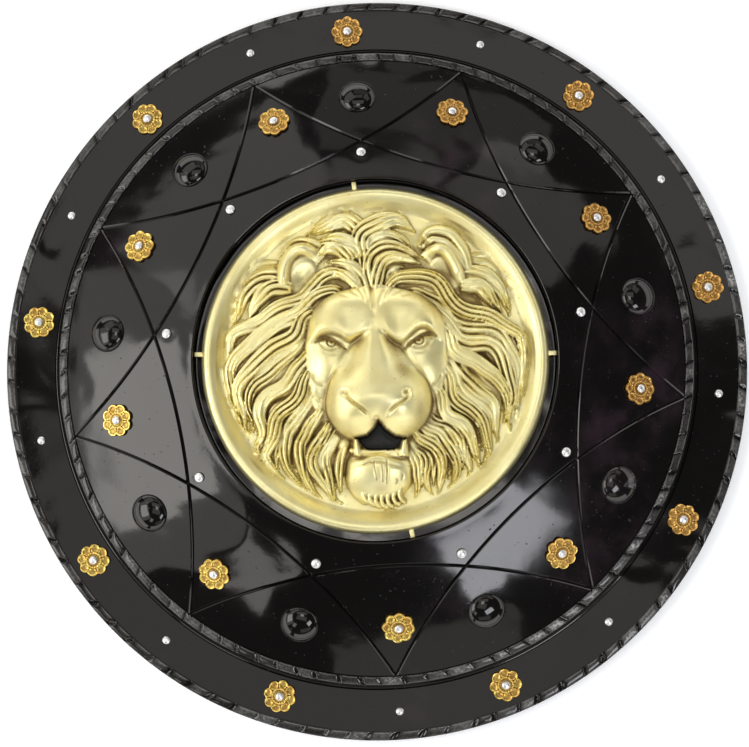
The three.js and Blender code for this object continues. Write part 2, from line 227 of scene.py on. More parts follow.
class Finish:

    def __init__(self, name):
        self.material = bpy.data.materials.new(name)
        self.material.use_nodes = True
        self.tree = self.material.node_tree
        self.tree.nodes.clear()
        self.output = self.tree.nodes.new("ShaderNodeOutputMaterial")

    def node(self, kind, settings=None, values=None, output=0):
        made = self.tree.nodes.new(kind)
        for key, value in (settings or {}).items():
            setattr(made, key, value)
        for key, value in (values or {}).items():
            socket = made.inputs[key]
            if isinstance(value, Wire):
                self.tree.links.new(value.socket, socket)
            else:
                socket.default_value = (*value, 1) if socket.type == "RGBA" else value
        return Wire(self, made.outputs[output])

    def place(self, scale=(1, 1, 1), turn=(0, 0, 0)):
        spot = self.node("ShaderNodeTexCoord", output="Object")
        return self.node("ShaderNodeMapping", values={"Vector": spot, "Scale": scale, "Rotation": turn})

    def noise(self, scale, detail=4.0, rough=0.55, where=None, distortion=0.0):
        values = {"Vector": where or self.place(), "Scale": scale, "Detail": detail}
        values.update({"Roughness": rough, "Distortion": distortion})
        return self.node("ShaderNodeTexNoise", values=values)

    def patches(self, scale, detail, low, high):
        return self.limit(self.noise(scale, detail), low, high)

    def ramp(self, value, stops):
        wire = self.node("ShaderNodeValToRGB", values={"Fac": value})
        ramp = wire.socket.node.color_ramp
        while len(ramp.elements) < len(stops):
            ramp.elements.new(0.5)
        for element, (place, tone) in zip(ramp.elements, stops):
            element.position = place
            element.color = (*tone, 1)
        return wire

    def mix(self, factor, first, second):
        settings = {"data_type": "RGBA"}
        return self.node("ShaderNodeMix", settings, {0: factor, 6: first, 7: second}, output=2)

    def limit(self, value, low, high):  # 0 to 1 between low and high
        values = {"Value": value, "From Min": low, "From Max": high}
        return self.node("ShaderNodeMapRange", {"interpolation_type": "SMOOTHSTEP"}, values)

    def painted(self, name):
        return self.node("ShaderNodeAttribute", {"attribute_name": name}, output="Fac")

    def bump(self, height, distance, strength=1.0, under=None):
        values = {"Height": height, "Distance": distance, "Strength": strength}
        if under:
            values["Normal"] = under
        return self.node("ShaderNodeBump", values=values)

    def surface(self, **values):
        named = {key.replace("_", " "): value for key, value in values.items()}
        shader = self.node("ShaderNodeBsdfPrincipled", values=named)
        self.tree.links.new(shader.socket, self.output.inputs["Surface"])
        return self.material


# finishes

tones = {
    "lacquer": (0.0028, 0.0024, 0.0024), "dust": (0.055, 0.052, 0.05), "haze": (0.030, 0.017, 0.024),
    "scuffed": (0.20, 0.195, 0.185), "rubbed": (0.46, 0.45, 0.43), "lacquerTint": (1.0, 0.96, 0.91),
    "wood": ((0.016, 0.010, 0.007), (0.030, 0.018, 0.011), (0.012, 0.008, 0.006)),
    "pores": (0.005, 0.004, 0.003),
    "brass": (0.86, 0.75, 0.34), "brassPale": (0.95, 0.87, 0.47), "tarnish": (0.33, 0.24, 0.095),
    "specks": (0.20, 0.13, 0.06), "mouth": (0.004, 0.0035, 0.003),
    "gilt": (1.0, 0.76, 0.19), "giltDull": (0.80, 0.50, 0.12), "giltRed": (0.72, 0.40, 0.11),
    "giltRecess": (0.10, 0.042, 0.010), "silver": (0.88, 0.87, 0.85), "silverDull": (0.66, 0.65, 0.63),
    "leather": (0.022, 0.011, 0.006), "leatherPale": (0.055, 0.028, 0.014),
    "leatherWorn": (0.13, 0.075, 0.04), "thread": (0.30, 0.22, 0.13), "threadPale": (0.45, 0.36, 0.23),
    "paper": (0.95, 0.95, 0.95), "glow": (1.0, 1.0, 1.0),
}
shadedSideWay = -0.61  # turn that brings the way to the redder, darker gilding of the painted shade side onto x


def lacquerFinish():
    finish = Finish("blackLacquer")
    smears = finish.noise(9, 5)
    dust = finish.patches(900, 2, 0.70, 0.78) * finish.patches(14, 3, 0.5, 0.68)
    worn = finish.painted("worn")
    scuffed = worn * (0.55 + finish.patches(420, 3, 0.42, 0.62) * 0.45)
    base = finish.mix(dust * 0.4, tones["lacquer"], tones["dust"])
    haze = finish.patches(7, 4, 0.52, 0.75) * finish.patches(36, 3, 0.35, 0.75)
    base = finish.mix(haze * 0.8, base, tones["haze"])
    # scuffs are random wear on the rope crests; the brightest beads also carry the ropes' painted glint
    base = finish.mix(scuffed * 0.9, base, tones["scuffed"])
    base = finish.mix(finish.limit(scuffed, 0.5, 0.95) * 0.8, base, tones["rubbed"])
    motes = finish.patches(330, 1, 0.735, 0.76)
    rough = 0.07 + finish.limit(smears, 0.4, 0.75) * 0.07 + scuffed * 0.3 + dust * 0.2 + motes * 0.35
    waves = finish.bump(finish.noise(16, 1, 0.4, distortion=0.5), 0.0021)
    brushing = finish.bump(finish.noise(120, 3), 0.00003, under=waves)
    pits = finish.bump(dust, 0.0001, under=brushing)
    return finish.surface(Base_Color=base, Roughness=rough, Normal=pits, IOR=1.5,
                          Specular_Tint=tones["lacquerTint"])


def backFinish():  # turned wood stained near black, for the hidden side
    finish = Finish("stainedWood")
    grain = finish.noise(7, 7, 0.6, finish.place((1, 9, 1)), 0.6)
    pores = finish.limit(finish.noise(60, 3, 0.6, finish.place((1, 14, 1))), 0.55, 0.68)
    tone = finish.ramp(grain, list(zip((0.3, 0.55, 0.75), tones["wood"])))
    base = finish.mix(pores * 0.7, tone, tones["pores"])
    rough = 0.42 + grain * 0.2 + pores * 0.15
    return finish.surface(Base_Color=base, Roughness=rough, Normal=finish.bump(grain - pores * 0.6, 0.0004))


def brassFinish():
    finish = Finish("castBrass")
    recess = finish.painted("recess")
    black = finish.painted("mouthBlack")
    cloud = finish.noise(34, 4)
    pale = finish.mix(finish.limit(cloud, 0.3, 0.7), tones["brass"], tones["brassPale"])
    # tarnish in the hollows together with painted shade, from the recess attribute, with random patches
    tarnish = finish.limit(recess + (cloud - 0.5) * 0.35, 0.05, 1.0)
    specks = finish.limit(finish.noise(520, 2) + recess * 0.12, 0.69, 0.76)
    base = finish.mix(tarnish, pale, tones["tarnish"])
    base = finish.mix(specks * 0.5, base, tones["specks"])
    base = finish.mix(black, base, tones["mouth"])
    rough = 0.33 + finish.noise(60, 4) * 0.18 + tarnish * 0.12
    grain = finish.bump(finish.noise(700, 4), 0.00008)
    pits = finish.bump(1.0 - specks, 0.00012, under=grain)
    return finish.surface(Base_Color=base, Metallic=(1.0 - black) * 0.88, Roughness=rough, Normal=pits)


def giltFinish():
    finish = Finish("giltBrass")
    recess = finish.painted("recess")
    cloud = finish.noise(120, 4)
    gold = finish.mix(finish.limit(cloud, 0.35, 0.65), tones["gilt"], tones["giltDull"])
    across = finish.node("ShaderNodeSeparateXYZ", values={"Vector": finish.place(turn=(0, 0, shadedSideWay))})
    # painted shade: rosettes towards one side of the shield turn redder and darker
    gold = finish.mix(finish.limit(across, -0.2, 0.22), gold, tones["giltRed"])
    # painted shade in the rosette's hollows, from the recess attribute
    base = finish.mix(recess, gold, tones["giltRecess"])
    rough = 0.22 + cloud * 0.12 + recess * 0.2
    normal = finish.bump(finish.noise(900, 3), 0.00005)
    return finish.surface(Base_Color=base, Metallic=1.0, Roughness=rough, Normal=normal)


def silverFinish():
    finish = Finish("nailSilver")
    cloud = finish.noise(260, 4)
    base = finish.mix(finish.limit(cloud, 0.4, 0.7), tones["silver"], tones["silverDull"])
    normal = finish.bump(finish.noise(1200, 2), 0.00003)
    return finish.surface(Base_Color=base, Metallic=1.0, Roughness=0.34 + cloud * 0.12, Normal=normal)


def leatherFinish():
    finish = Finish("strapLeather")
    grain = finish.node("ShaderNodeTexVoronoi", values={"Vector": finish.place(), "Scale": 700.0})
    cloud = finish.noise(28, 5)
    worn = finish.limit(finish.painted("worn") + (cloud - 0.5) * 0.5, 0.3, 1.0)
    base = finish.mix(cloud, tones["leather"], tones["leatherPale"])
    base = finish.mix(worn, base, tones["leatherWorn"])
    rough = 0.48 + cloud * 0.2 - worn * 0.08
    normal = finish.bump(grain, 0.00025, 0.7, finish.bump(finish.noise(90, 4), 0.0004))
    return finish.surface(Base_Color=base, Roughness=rough, Normal=normal)


def threadFinish():
    finish = Finish("waxedThread")
    values = {"Vector": finish.place(), "Scale": 500.0}
    twist = finish.node("ShaderNodeTexWave", {"bands_direction": "DIAGONAL"}, values)
    base = finish.mix(twist, tones["thread"], tones["threadPale"])
    return finish.surface(Base_Color=base, Roughness=0.6 + twist * 0.15, Normal=finish.bump(twist, 0.0002))


lacquer, stainedWood, castBrass = lacquerFinish(), backFinish(), brassFinish()
giltBrass, nailSilver = giltFinish(), silverFinish()
strapLeather, waxedThread = leatherFinish(), threadFinish()
print("finishes made")


# body

body = {
    "rim": 305, "bandTop": 8.5, "bandInner": 264.8, "curve": 536, "crown": 74.6, "board": 9,
    "ropeHalf": 3.7, "ropeHeight": 2.6, "outerRope": 301.2, "innerRope": 257,
    "recess": 145, "recessFloor": 39, "recessLip": 1.2, "boss": 155, "bossBack": 30,
    "points": 9, "starTurn": 33.7, "starReach": 253.4, "starWaist": 163.5, "fieldEdge": 252.6,
    "groove": 3.0, "grooveDepth": 1.4, "grooveSteps": 72,
    "domeRing": 219, "domeRadius": 15.4, "domeHeight": 7.2, "domeFoot": -3,
    "domes": (14, 53, 94, 134, 174, 214, 254, 294, 333),
    "steps": 360, "ropeSteps": 1800, "domeSteps": 72,
    "cutEvery": (2.9, 4.6), "cutDepth": (0.6, 1.6), "cutWidth": (0.16, 0.4), "cutLean": (0.2, 0.6),
    # where the ropes get a painted glint, their beads lighter as if lit: degrees round, reach in degrees, how
    # much
    "rubbed": {"innerRope": (308, 32, 0.75), "outerRope": (355, 55, 0.5)},
    "nailRing": 168, "nails": (13, 53, 94, 134, 173, 214, 254, 294, 334), "dimpleReach": 11, "dimple": 0.35,
    "beadRound": 0.45, "shoulder": 0.35,
}


def fieldHeight(radius):
    return body["crown"] - radius ** 2 / (2 * body["curve"])


def onFace(radius, degrees, lift=0, turn=0):  # a place on the face, its own z along the face's normal
    onField = radius < body["innerRope"]
    height = fieldHeight(radius) if onField else body["bandTop"]
    lean = math.atan(radius / body["curve"]) if onField else 0
    place = spun(degrees) @ Matrix.Translation((radius * mm, 0, height * mm))
    return place @ Matrix.Rotation(lean, 4, "Y") @ Matrix.Translation((0, 0, lift * mm)) @ spun(turn)


def ropeProfile(middle, inner, outer, height):  # half an oval between two foot heights
    profile, steps = [], 12
    for i in range(steps + 1):
        turn = math.pi * i / steps
        share = (1 - math.cos(turn)) / 2
        foot = inner * (1 - share) + outer * share
        profile.append((middle - body["ropeHalf"] * math.cos(turn), foot + height * math.sin(turn) ** 0.5))
    return profile


def bodyStrips():  # profiles from the recess out over the rim and back in, with their steps
    recess, lip, boss, back, top = (body[key] for key in ("recess", "recessLip", "boss", "board", "bandTop"))
    floor, steps, ropeSteps = body["recessFloor"], body["steps"], body["ropeSteps"]
    bossBack = body["bossBack"]
    inside = [(r, floor) for r in (0, 50, 100, 130, recess - 1)]
    inside += [(recess, floor + 1), (recess, floor + 7), (recess, fieldHeight(recess) - lip - 0.1)]
    lipFoot = fieldHeight(recess) - lip - 0.25
    for a in (math.radians(30), math.radians(60), math.radians(90)):
        inside.append((recess + lip * (1 - math.cos(a)), lipFoot + lip * math.sin(a)))
    reach = body["fieldEdge"]
    inside += [(r, fieldHeight(r)) for r in (*np.linspace(recess + 3, reach - 0.7, 43), reach)]
    doubleLine = [(261.2, 10.7), (261.6, 9.4), (262.1, 9.2), (262.6, 10.3), (263, 10.3), (263.5, 7.9),
                  (264.1, 7.7)]
    band = [(body["bandInner"], top), (272, 8.5), (280, 8.6), (290, 8.6), (296.4, 8.5), (297, 8.5)]
    rim = [(body["rim"], z) for z in (6.9, 4, 1.5)]
    rim += [(304.5, 0.5), (303.5, 0), (286, 0), (270, 0), (267.5, 0.15)]
    hollow = [(265, 0.7)] + [(r, fieldHeight(r) - back) for r in np.linspace(261.5, boss + 4, 14)]
    hidden = [(boss + 1.5, fieldHeight(boss) - back - 0.8), (boss, 40), (boss, bossBack + 2)]
    hidden += [(r, bossBack) for r in (boss - 2, 110, 60, 0)]
    return [
        (inside, steps),
        (ropeProfile(body["innerRope"], 13.6, 11.2, body["ropeHeight"] - 0.2), ropeSteps),
        (doubleLine + band, steps),
        (ropeProfile(body["outerRope"], top, 7.4, body["ropeHeight"] - 0.4), ropeSteps),
        (rim + hollow + hidden, steps),
    ]


def bridgeStrips(strips):  # weld the five strips edge to edge
    piece = joinPieces([turned("shieldBody", profile, steps) for profile, steps in strips])
    for (before, _), (after, _) in zip(strips, strips[1:]):
        ends = before[-1][0], after[0][0]
        low, high = (min(ends) - 0.05) * mm, (max(ends) + 0.05) * mm
        work(piece)
        editAll()
        bpy.ops.mesh.select_all(action="DESELECT")
        shape = bmesh.from_edit_mesh(piece.data)
        for edge in shape.edges:
            radii = [math.hypot(v.co.x, v.co.y) for v in edge.verts]
            if edge.is_boundary and low < min(radii) and max(radii) < high:
                edge.select_set(True)
        bmesh.update_edit_mesh(piece.data)
        bpy.ops.mesh.bridge_edge_loops()
        leaveEdit()
    cleanUp(piece, 0.001)
    return piece


def cutRopes(piece):  # short leaning cuts all round both ropes
    points = readPoints(piece)
    radius = np.hypot(points[:, 0], points[:, 1])
    turn = np.degrees(np.arctan2(points[:, 1], points[:, 0])) % 360
    worn = np.zeros(len(points))
    chance = Random(11)
    for rope, side in (("innerRope", 1), ("outerRope", -1)):
        middle, (way, reach, most) = body[rope], body["rubbed"][rope]
        on = (np.abs(radius - middle) < body["ropeHalf"] + 0.02) & (points[:, 2] > 6)
        across = (radius[on] - middle) / body["ropeHalf"]
        here = turn[on]
        sink, scuffAndGlint = np.zeros(len(here)), np.zeros(len(here))
        at = 0.0
        while at < 359:
            depth, width = chance.uniform(*body["cutDepth"]), chance.uniform(*body["cutWidth"])
            lean, step = side * chance.uniform(*body["cutLean"]), chance.uniform(*body["cutEvery"])
            # painted glint: beads towards this direction round the rope are made lighter, as a reflection
            # would be; the rest of the tone is random wear
            rubbed = most * math.exp(-(((at - way + 180) % 360 - 180) / reach) ** 2)
            tone = chance.uniform(0, 1) ** 1.5 + rubbed * chance.uniform(0.3, 1)
            away = (here - at - lean * across + 180) % 360 - 180
            gap = np.exp(-(away / width) ** 2) + body["shoulder"] * np.exp(-(away / (2.4 * width)) ** 2)
            sink = np.maximum(sink, depth * gap)
            onBead = np.abs(away - step / 2) < step / 2
            scuffAndGlint[onBead] = tone
            sink[onBead] += body["beadRound"] * np.abs(away[onBead] / step - 0.5)
            at += step
        crest = np.clip(1 - across ** 2, 0, 1)
        points[on, 2] -= sink * crest ** 0.7
        # the worn value holds real wear on the crests and the painted glint of the lighter beads
        worn[on] = np.clip((0.1 + 0.6 * scuffAndGlint) * crest ** 0.3 * np.clip(1 - 1.4 * sink, 0, 1), 0, 1)
    writePoints(piece, points)
    paint(piece, "worn", worn)


def pressDimples(piece):  # the lacquer dips a little round each nail of the inner ring
    points = readPoints(piece)
    onFront = points[:, 2] > fieldHeight(np.hypot(points[:, 0], points[:, 1])) - 2
    for turn in np.radians(body["nails"]):
        nailX, nailY = body["nailRing"] * math.cos(turn), body["nailRing"] * math.sin(turn)
        away = np.hypot(points[:, 0] - nailX, points[:, 1] - nailY)
        dip = body["dimple"] * np.cos(np.pi / 2 * np.clip(away / body["dimpleReach"], 0, 1)) ** 2
        points[onFront, 2] -= dip[onFront]
    writePoints(piece, points)


def grooveCutter(degrees):  # one V cutter along an arc of the star
    half, steps = math.pi / body["points"], body["grooveSteps"]
    halfChord = body["starReach"] * math.sin(2 * half)
    rise = body["starReach"] * math.cos(2 * half) - body["starWaist"]
    bend = (halfChord ** 2 + rise ** 2) / (2 * rise)
    centre = body["starWaist"] + bend
    sweep = math.asin(halfChord / bend)
    wide, deep = body["groove"], body["grooveDepth"]
    vertices, faces = [], []
    for i in range(steps + 1):
        angle = sweep * (1 - 2 * i / steps)
        for out, lift in ((-wide, deep), (wide, deep), (0, -deep)):
            x = centre - (bend + out) * math.cos(angle)
            y = (bend + out) * math.sin(angle)
            vertices.append((x, y, fieldHeight(math.hypot(x, y)) + lift))
    for i in range(steps):
        for a, b in ((0, 1), (1, 2), (2, 0)):
            faces.append((3 * i + a, 3 * i + b, 3 * i + 3 + b, 3 * i + 3 + a))
    last = 3 * steps
    faces += [(2, 1, 0), (last, last + 1, last + 2)]
    piece = newPiece("grooveCutter", vertices, faces)
    piece.data.transform(spun(degrees))
    cleanUp(piece)
    return piece


def domePiece(degrees):  # nearly flat on top, steep at the edge, its foot sunk in the face
    radius, height, foot = body["domeRadius"], body["domeHeight"], body["domeFoot"]
    profile, steps = [(0, foot), (radius, foot)], 29
    for i in range(steps):
        out = math.cos(math.pi / 2 * i / steps)
        profile.append((radius * out, height * (1 - out ** 2.2) ** 0.6))
    piece = turned("dome", profile + [(0, height)], body["domeSteps"])
    piece.data.transform(onFace(body["domeRing"], degrees))
    return piece


def makeBody():
    piece = bridgeStrips(bodyStrips())
    cutRopes(piece)
    pressDimples(piece)
    for i in range(body["points"]):
        combine(piece, grooveCutter(body["starTurn"] + 360 * i / body["points"]), "DIFFERENCE")
    combine(piece, joinPieces([domePiece(degrees) for degrees in body["domes"]]), "UNION")
    fillSlits(piece)
    dress(piece, 32, lacquer, stainedWood)
    for face in piece.data.polygons:
        inBoss = face.center.z < 36 * mm and face.center.xy.length < 200 * mm
        hidden = face.normal.z < -0.3 or (abs(face.normal.z) < 0.3 and inBoss)
        face.material_index = 1 if hidden else 0
    hand(piece, ["shield_body"])
    print("body made, open edges:", openEdges(piece), "faces:", len(piece.data.polygons))


makeBody()


# lion medallion

medallion = {
    "radius": 138.5, "foot": 39.3, "lipRadius": 133, "lipTop": 54.5, "dishFloor": 47, "dishRadius": 119,
    "rings": 154, "edge": (120.5, 122.5, 124.5, 126.5, 128.5, 130.5, 132, 133.5, 135, 136.5, 137.7, 138.3),
    "edgeSteps": 480,
    # the back: radius, height, steps
    "back": ((138.5, 48.6, 480), (138.5, 41, 240), (137.3, 39.3, 120), (126, 39.3, 60), (95, 43.3, 36),
             (0, 42.3, 1)),
    "tabs": (2, 97, 178.5, 282), "tabEnd": 144.3, "tabWidth": 3.8, "tabThick": 3.2,
    "wave": 1.8, "waveLength": 45, "maneReach": 116,
    "tipSink": 0.42, "rootSink": 7, "layer": 1.9, "lockRound": 4.6, "lockEdge": 9,
    "strandDepth": 3.9, "hairDepth": 0.35,
    # the steep values give the painted shade on steep sides, on the face and elsewhere
    "templeTop": 54, "brow": 4.8, "socket": 1.8, "steepOnFace": 0.42, "steepElsewhere": 0.22,
    "eyes": ((-34.0, 12.0), (34.6, 13.6)), "iris": 3.6,
    "fangs": ((-12.8, -0.17), (22.3, 0.08)),  # middle of the root, lean
    "fangRoot": -76, "fangLength": 12, "fangHalf": 4.2,
}

# the locks of the mane, root to tip as x, y pairs in mm, then half the width, the rise and the strands
locks = [
    # crown, left of the parting
    ((-13, 96, -15, 106, -25, 112, -40, 108, -56, 100), 8.5, 12, 4),
    ((-13, 78, -18, 89, -28, 94, -40, 93, -50, 90), 8, 14, 4),
    ((-19, 78, -24, 84, -32, 88, -40, 87, -46, 82), 6, 13, 3),
    ((-5, 50, -11, 64, -19, 74, -30, 77, -42, 76), 6, 15.5, 3),
    ((-9, 48, -15, 58, -22, 65, -33, 69, -44, 69), 5, 15, 3),
    # and right of it
    ((-9, 82, -11, 98, 0, 108, 17, 112, 31, 103), 9, 12, 4),
    ((-6, 66, -8, 84, -3, 95, 8, 99, 20, 96, 31, 88), 7, 14, 4),
    ((-2, 52, -4, 76, 3, 87, 14, 90, 26, 86, 38, 80), 6.5, 15, 3),
    ((1, 52, 3, 72, 10, 80, 22, 80, 36, 76), 6, 15, 3),
    ((6, 54, 10, 67, 18, 73, 30, 72), 5, 14.5, 3),
    # behind the ears
    ((-42, 88, -54, 93, -66, 91, -77, 83), 6, 10, 2),
    ((38, 92, 46, 99, 58, 98, 66, 88, 72, 74, 73, 58), 9, 12, 2),
    # fans beyond the ears
    ((-66, 74, -95, 73, -113, 60, -120, 42, -118, 22), 7, 9, 2),
    ((-66, 65, -89, 65, -104, 53, -110, 38, -115, 24), 7, 11, 3),
    ((-64, 56, -83, 56, -94, 46, -101, 31), 7, 12, 3),
    ((66, 78, 86, 80, 98, 73, 107, 56, 109, 34), 7, 9, 2),
    ((66, 68, 86, 69, 96, 60, 104, 46, 107, 35), 6.5, 11, 3),
    ((66, 58, 82, 58, 91, 49, 100, 38), 7, 12, 3),
    # long locks from the brow, down the left
    ((-4, 52, -17, 64, -34, 66, -50, 57, -63, 46,
      -88, 33, -112, 19, -124, -2, -127, -26, -121, -50), 7, 14, 4),
    ((-22, 50, -34, 54, -48, 47, -62, 37, -80, 24, -100, 12, -113, -8, -114, -30, -108, -57), 7.5, 14, 4),
    ((-44, 40, -56, 33, -66, 18, -82, 6, -98, -5, -107, -22, -106, -42, -104, -58), 7, 14, 3),
    ((-48, 26, -58, 16, -68, 2, -82, -8, -95, -20, -100, -38, -99, -54, -110, -71), 7, 14, 4),
    ((-50, 10, -58, -4, -70, -18, -84, -30, -91, -45, -90, -60, -94, -76, -88, -90), 6.5, 14, 3),
    ((-50, -6, -57, -20, -65, -36, -77, -48, -82, -62, -86, -78, -84, -92, -78, -102), 6.5, 14, 4),
    ((-46, -22, -53, -34, -60, -48, -70, -58, -72, -70, -68, -84, -62, -97, -57, -107), 6, 14, 3),
    ((-40, -36, -47, -48, -55, -58, -60, -68, -56, -84, -53, -100, -44, -115), 5.5, 14, 3),
    ((-34, -48, -39, -58, -46, -68, -48, -82, -43, -98, -34, -113), 5, 14, 3),
    ((-27, -58, -32, -66, -37, -78, -38, -94, -34, -107, -25, -116), 4.5, 14, 2),
    ((-22, -68, -27, -78, -30, -92, -26, -106), 4, 13, 2),
    # and down the right
    ((4, 50, 16, 63, 30, 67, 46, 61, 60, 48, 76, 36, 96, 31, 114, 20, 121, 2, 124, -30), 7, 14, 4),
    ((20, 52, 34, 54, 48, 46, 62, 33, 80, 26, 100, 19, 112, 2, 113, -26, 121, -41, 117, -58), 7.5, 14, 4),
    ((40, 42, 50, 36, 60, 22, 74, 12, 92, 8, 104, -6, 107, -28, 106, -44, 117, -61), 7, 14, 3),
    ((47, 30, 57, 20, 66, 4, 82, -6, 97, -14, 103, -30, 103, -50), 7, 14, 4),
    ((50, 14, 59, 4, 67, -12, 80, -22, 92, -34, 94, -50, 101, -68), 6.5, 14, 3),
    ((51, 0, 58, -12, 63, -30, 75, -42, 85, -54, 91, -70, 88, -88), 6.5, 14, 4),
    ((47, -20, 53, -32, 58, -45, 70, -55, 79, -68, 84, -90), 6, 14, 3),
    ((40, -36, 47, -48, 58, -55, 69, -64, 72, -78, 75, -97), 6, 14, 4),
    ((34, -48, 41, -57, 52, -61, 60, -72, 63, -88, 61, -104), 5.5, 14, 3),
    ((29, -56, 35, -63, 46, -69, 51, -82, 53, -97, 52, -110), 5, 14, 3),
    ((26, -64, 31, -70, 38, -78, 41, -92, 46, -110), 4.5, 14, 3),
    ((25, -70, 29, -78, 34, -88, 34, -99, 30, -109), 4, 13, 2),
]
leftFall, rightFall = range(18, 29), range(29, 41)


def smoothLine(way, steps=10):  # a smooth line through the points
    points = np.array(way, float).reshape(-1, 2)
    points = np.vstack([2 * points[0] - points[1], points, 2 * points[-1] - points[-2]])
    line = []
    for before, start, end, after in zip(points, points[1:], points[2:], points[3:]):
        t = np.linspace(0, 1, steps, endpoint=False)[:, None]
        bend, twist = 2 * before - 5 * start + 4 * end - after, 3 * start - before - 3 * end + after
        line.append(0.5 * (2 * start + (end - before) * t + bend * t ** 2 + twist * t ** 3))
    line.append(points[-2][None])
    return np.vstack(line)


def evenLine(line, count=40):
    run = np.concatenate([[0], np.cumsum(np.hypot(*np.diff(line, axis=0).T))])
    at = np.linspace(0, run[-1], count)
    return np.stack([np.interp(at, run, line[:, 0]), np.interp(at, run, line[:, 1])], 1)


def waved(line, n):  # a drawn line swings from side to side and stays inside the dish
    step = np.gradient(line, axis=0)
    run = np.concatenate([[0], np.cumsum(np.hypot(*np.diff(line, axis=0).T))])
    across = np.stack([-step[:, 1], step[:, 0]], 1) / np.hypot(*step.T)[:, None]
    swing = medallion["wave"] * np.sin(2 * np.pi * run / medallion["waveLength"] + 2.4 * n) * ease(8, 30, run)
    line = line + across * swing[:, None]
    radius = np.hypot(*line.T)[:, None]
    return line * np.minimum(1, (medallion["maneReach"] + 0.3 * (radius - medallion["maneReach"])) / radius)


def maneLocks():  # the locks, after a lower one between each two neighbours of a fall
    drawn = [(smoothLine(way), half, rise, strands) for way, half, rise, strands in locks]
    under = []
    for fall in (leftFall, rightFall):
        for n in fall[:-1]:
            line = (evenLine(drawn[n][0]) + evenLine(drawn[n + 1][0])) / 2
            line = waved(line, n + 0.5)[:-len(line) // 6]
            under.append((line, 0.9 * min(drawn[n][1], drawn[n + 1][1]), drawn[n][2] - 3.5, 2))
    for n in (*leftFall, *rightFall):
        line, half, rise, strands = drawn[n]
        drawn[n] = (waved(line, n), half, rise, strands)
    return under + drawn


def follow(line, x, y, reach):  # which points are near a line, how far along it and off it they lie
    near = (x > line[:, 0].min() - reach) & (x < line[:, 0].max() + reach)
    near &= (y > line[:, 1].min() - reach) & (y < line[:, 1].max() + reach)
    px, py = x[near], y[near]
    best, share, side = np.full(px.shape, 1e9), np.zeros(px.shape), np.zeros(px.shape)
    lengths = np.hypot(*np.diff(line, axis=0).T)
    total = np.concatenate([[0], np.cumsum(lengths)])
    for start, step, length, run in zip(line, np.diff(line, axis=0), lengths, total):
        t = np.clip(((px - start[0]) * step[0] + (py - start[1]) * step[1]) / length ** 2, 0, 1)
        offX, offY = px - start[0] - t * step[0], py - start[1] - t * step[1]
        far = np.hypot(offX, offY)
        closer = far < best
        best[closer] = far[closer]
        share[closer] = ((run + t * length) / total[-1])[closer]
        side[closer] = np.sign(step[0] * offY - step[1] * offX)[closer]
    return near, share, best, side


def swell(x, y, middleX, middleY, halfX, halfY, fullness=0.5, turn=0.0):
    c, s = math.cos(turn), math.sin(turn)
    across, along = (x - middleX) * c + (y - middleY) * s, (y - middleY) * c - (x - middleX) * s
    return np.maximum(0, 1 - (across / halfX) ** 2 - (along / halfY) ** 2) ** fullness


def smoothMax(first, second, blend):
    return (first + second + np.sqrt((first - second) ** 2 + blend ** 2)) / 2


def lineField(x, y, way, reach, shape):  # what shape makes of the points near a smooth line
    field = np.zeros(x.shape)
    near, share, far, side = follow(smoothLine(way), x, y, reach)
    field[near] = shape(far, share)
    return field


def crease(x, y, way, width, depth):  # a soft line pressed in, fading towards its ends
    def press(far, share):
        ends = ease(0, 0.25, share) * ease(1, 0.75, share)
        return -depth * np.exp(-(far / width) ** 2) * (0.2 + 0.8 * ends)
    return lineField(x, y, way, 3 * width, press)


def raised(height, amount, foot, rise):  # a form that stands only where its amount is above 0
    return np.maximum(height, np.where(amount > 0, foot + rise * amount, 0))


def dishHeight(radius):
    lip, top, floor = medallion["lipRadius"], medallion["lipTop"], medallion["dishFloor"]
    rolled = top - 5 * (np.maximum(0, radius - lip) / (medallion["radius"] - lip)) ** 2
    down = ease(0, 1, (lip - radius) / (lip - medallion["dishRadius"]))
    return np.where(radius > lip, rolled, top + (floor - top) * down)


def maneHeight(x, y):
    height = np.zeros(x.shape)
    for n, (line, half, rise, strands) in enumerate(maneLocks()):
        near, share, far, side = follow(line, x, y, half * 1.3)
        taper = np.minimum(1, 0.6 + 2 * share) * (1 - 0.35 * ease(0.5, 0.82, share))
        taper = taper * (1 - 0.8 * ease(0.8, 1, share))
        across = far * side / (half * 1.12 * taper)
        lie = medallion["dishFloor"] + rise * (1 - medallion["tipSink"] * ease(0.55, 1, share))
        lie = lie + medallion["layer"] * (n * 7 % 3 - 1) - medallion["rootSink"] * (1 - ease(0, 0.07, share))
        off = np.abs(across)
        flank = medallion["lockRound"] * off ** 2.4 + medallion["lockEdge"] * np.maximum(0, off - 0.76) / 0.24
        drift = across + 0.16 * np.sin(2 * np.pi * (1.3 * share + 0.37 * n)) * (1 - across ** 2)
        valley = (1 - np.abs(np.cos(np.pi * (strands * (drift + 1) / 2 + 0.5)))) ** 1.2
        hairs = 0.5 - 0.5 * np.cos(3 * np.pi * strands * (drift + 1) + 2.1 * n)
        uneven = 0.75 + 0.5 * np.sin(3 * strands * drift + 5 * share + n)
        lock = lie - flank - medallion["strandDepth"] * uneven * valley
        lock = lock - medallion["hairDepth"] * hairs * (1 - valley)
        lock = lock - 4 * ease(104, 122, np.hypot(x[near], y[near]))
        height[near] = np.maximum(height[near], np.where(off < 1, lock, 0))
    return height


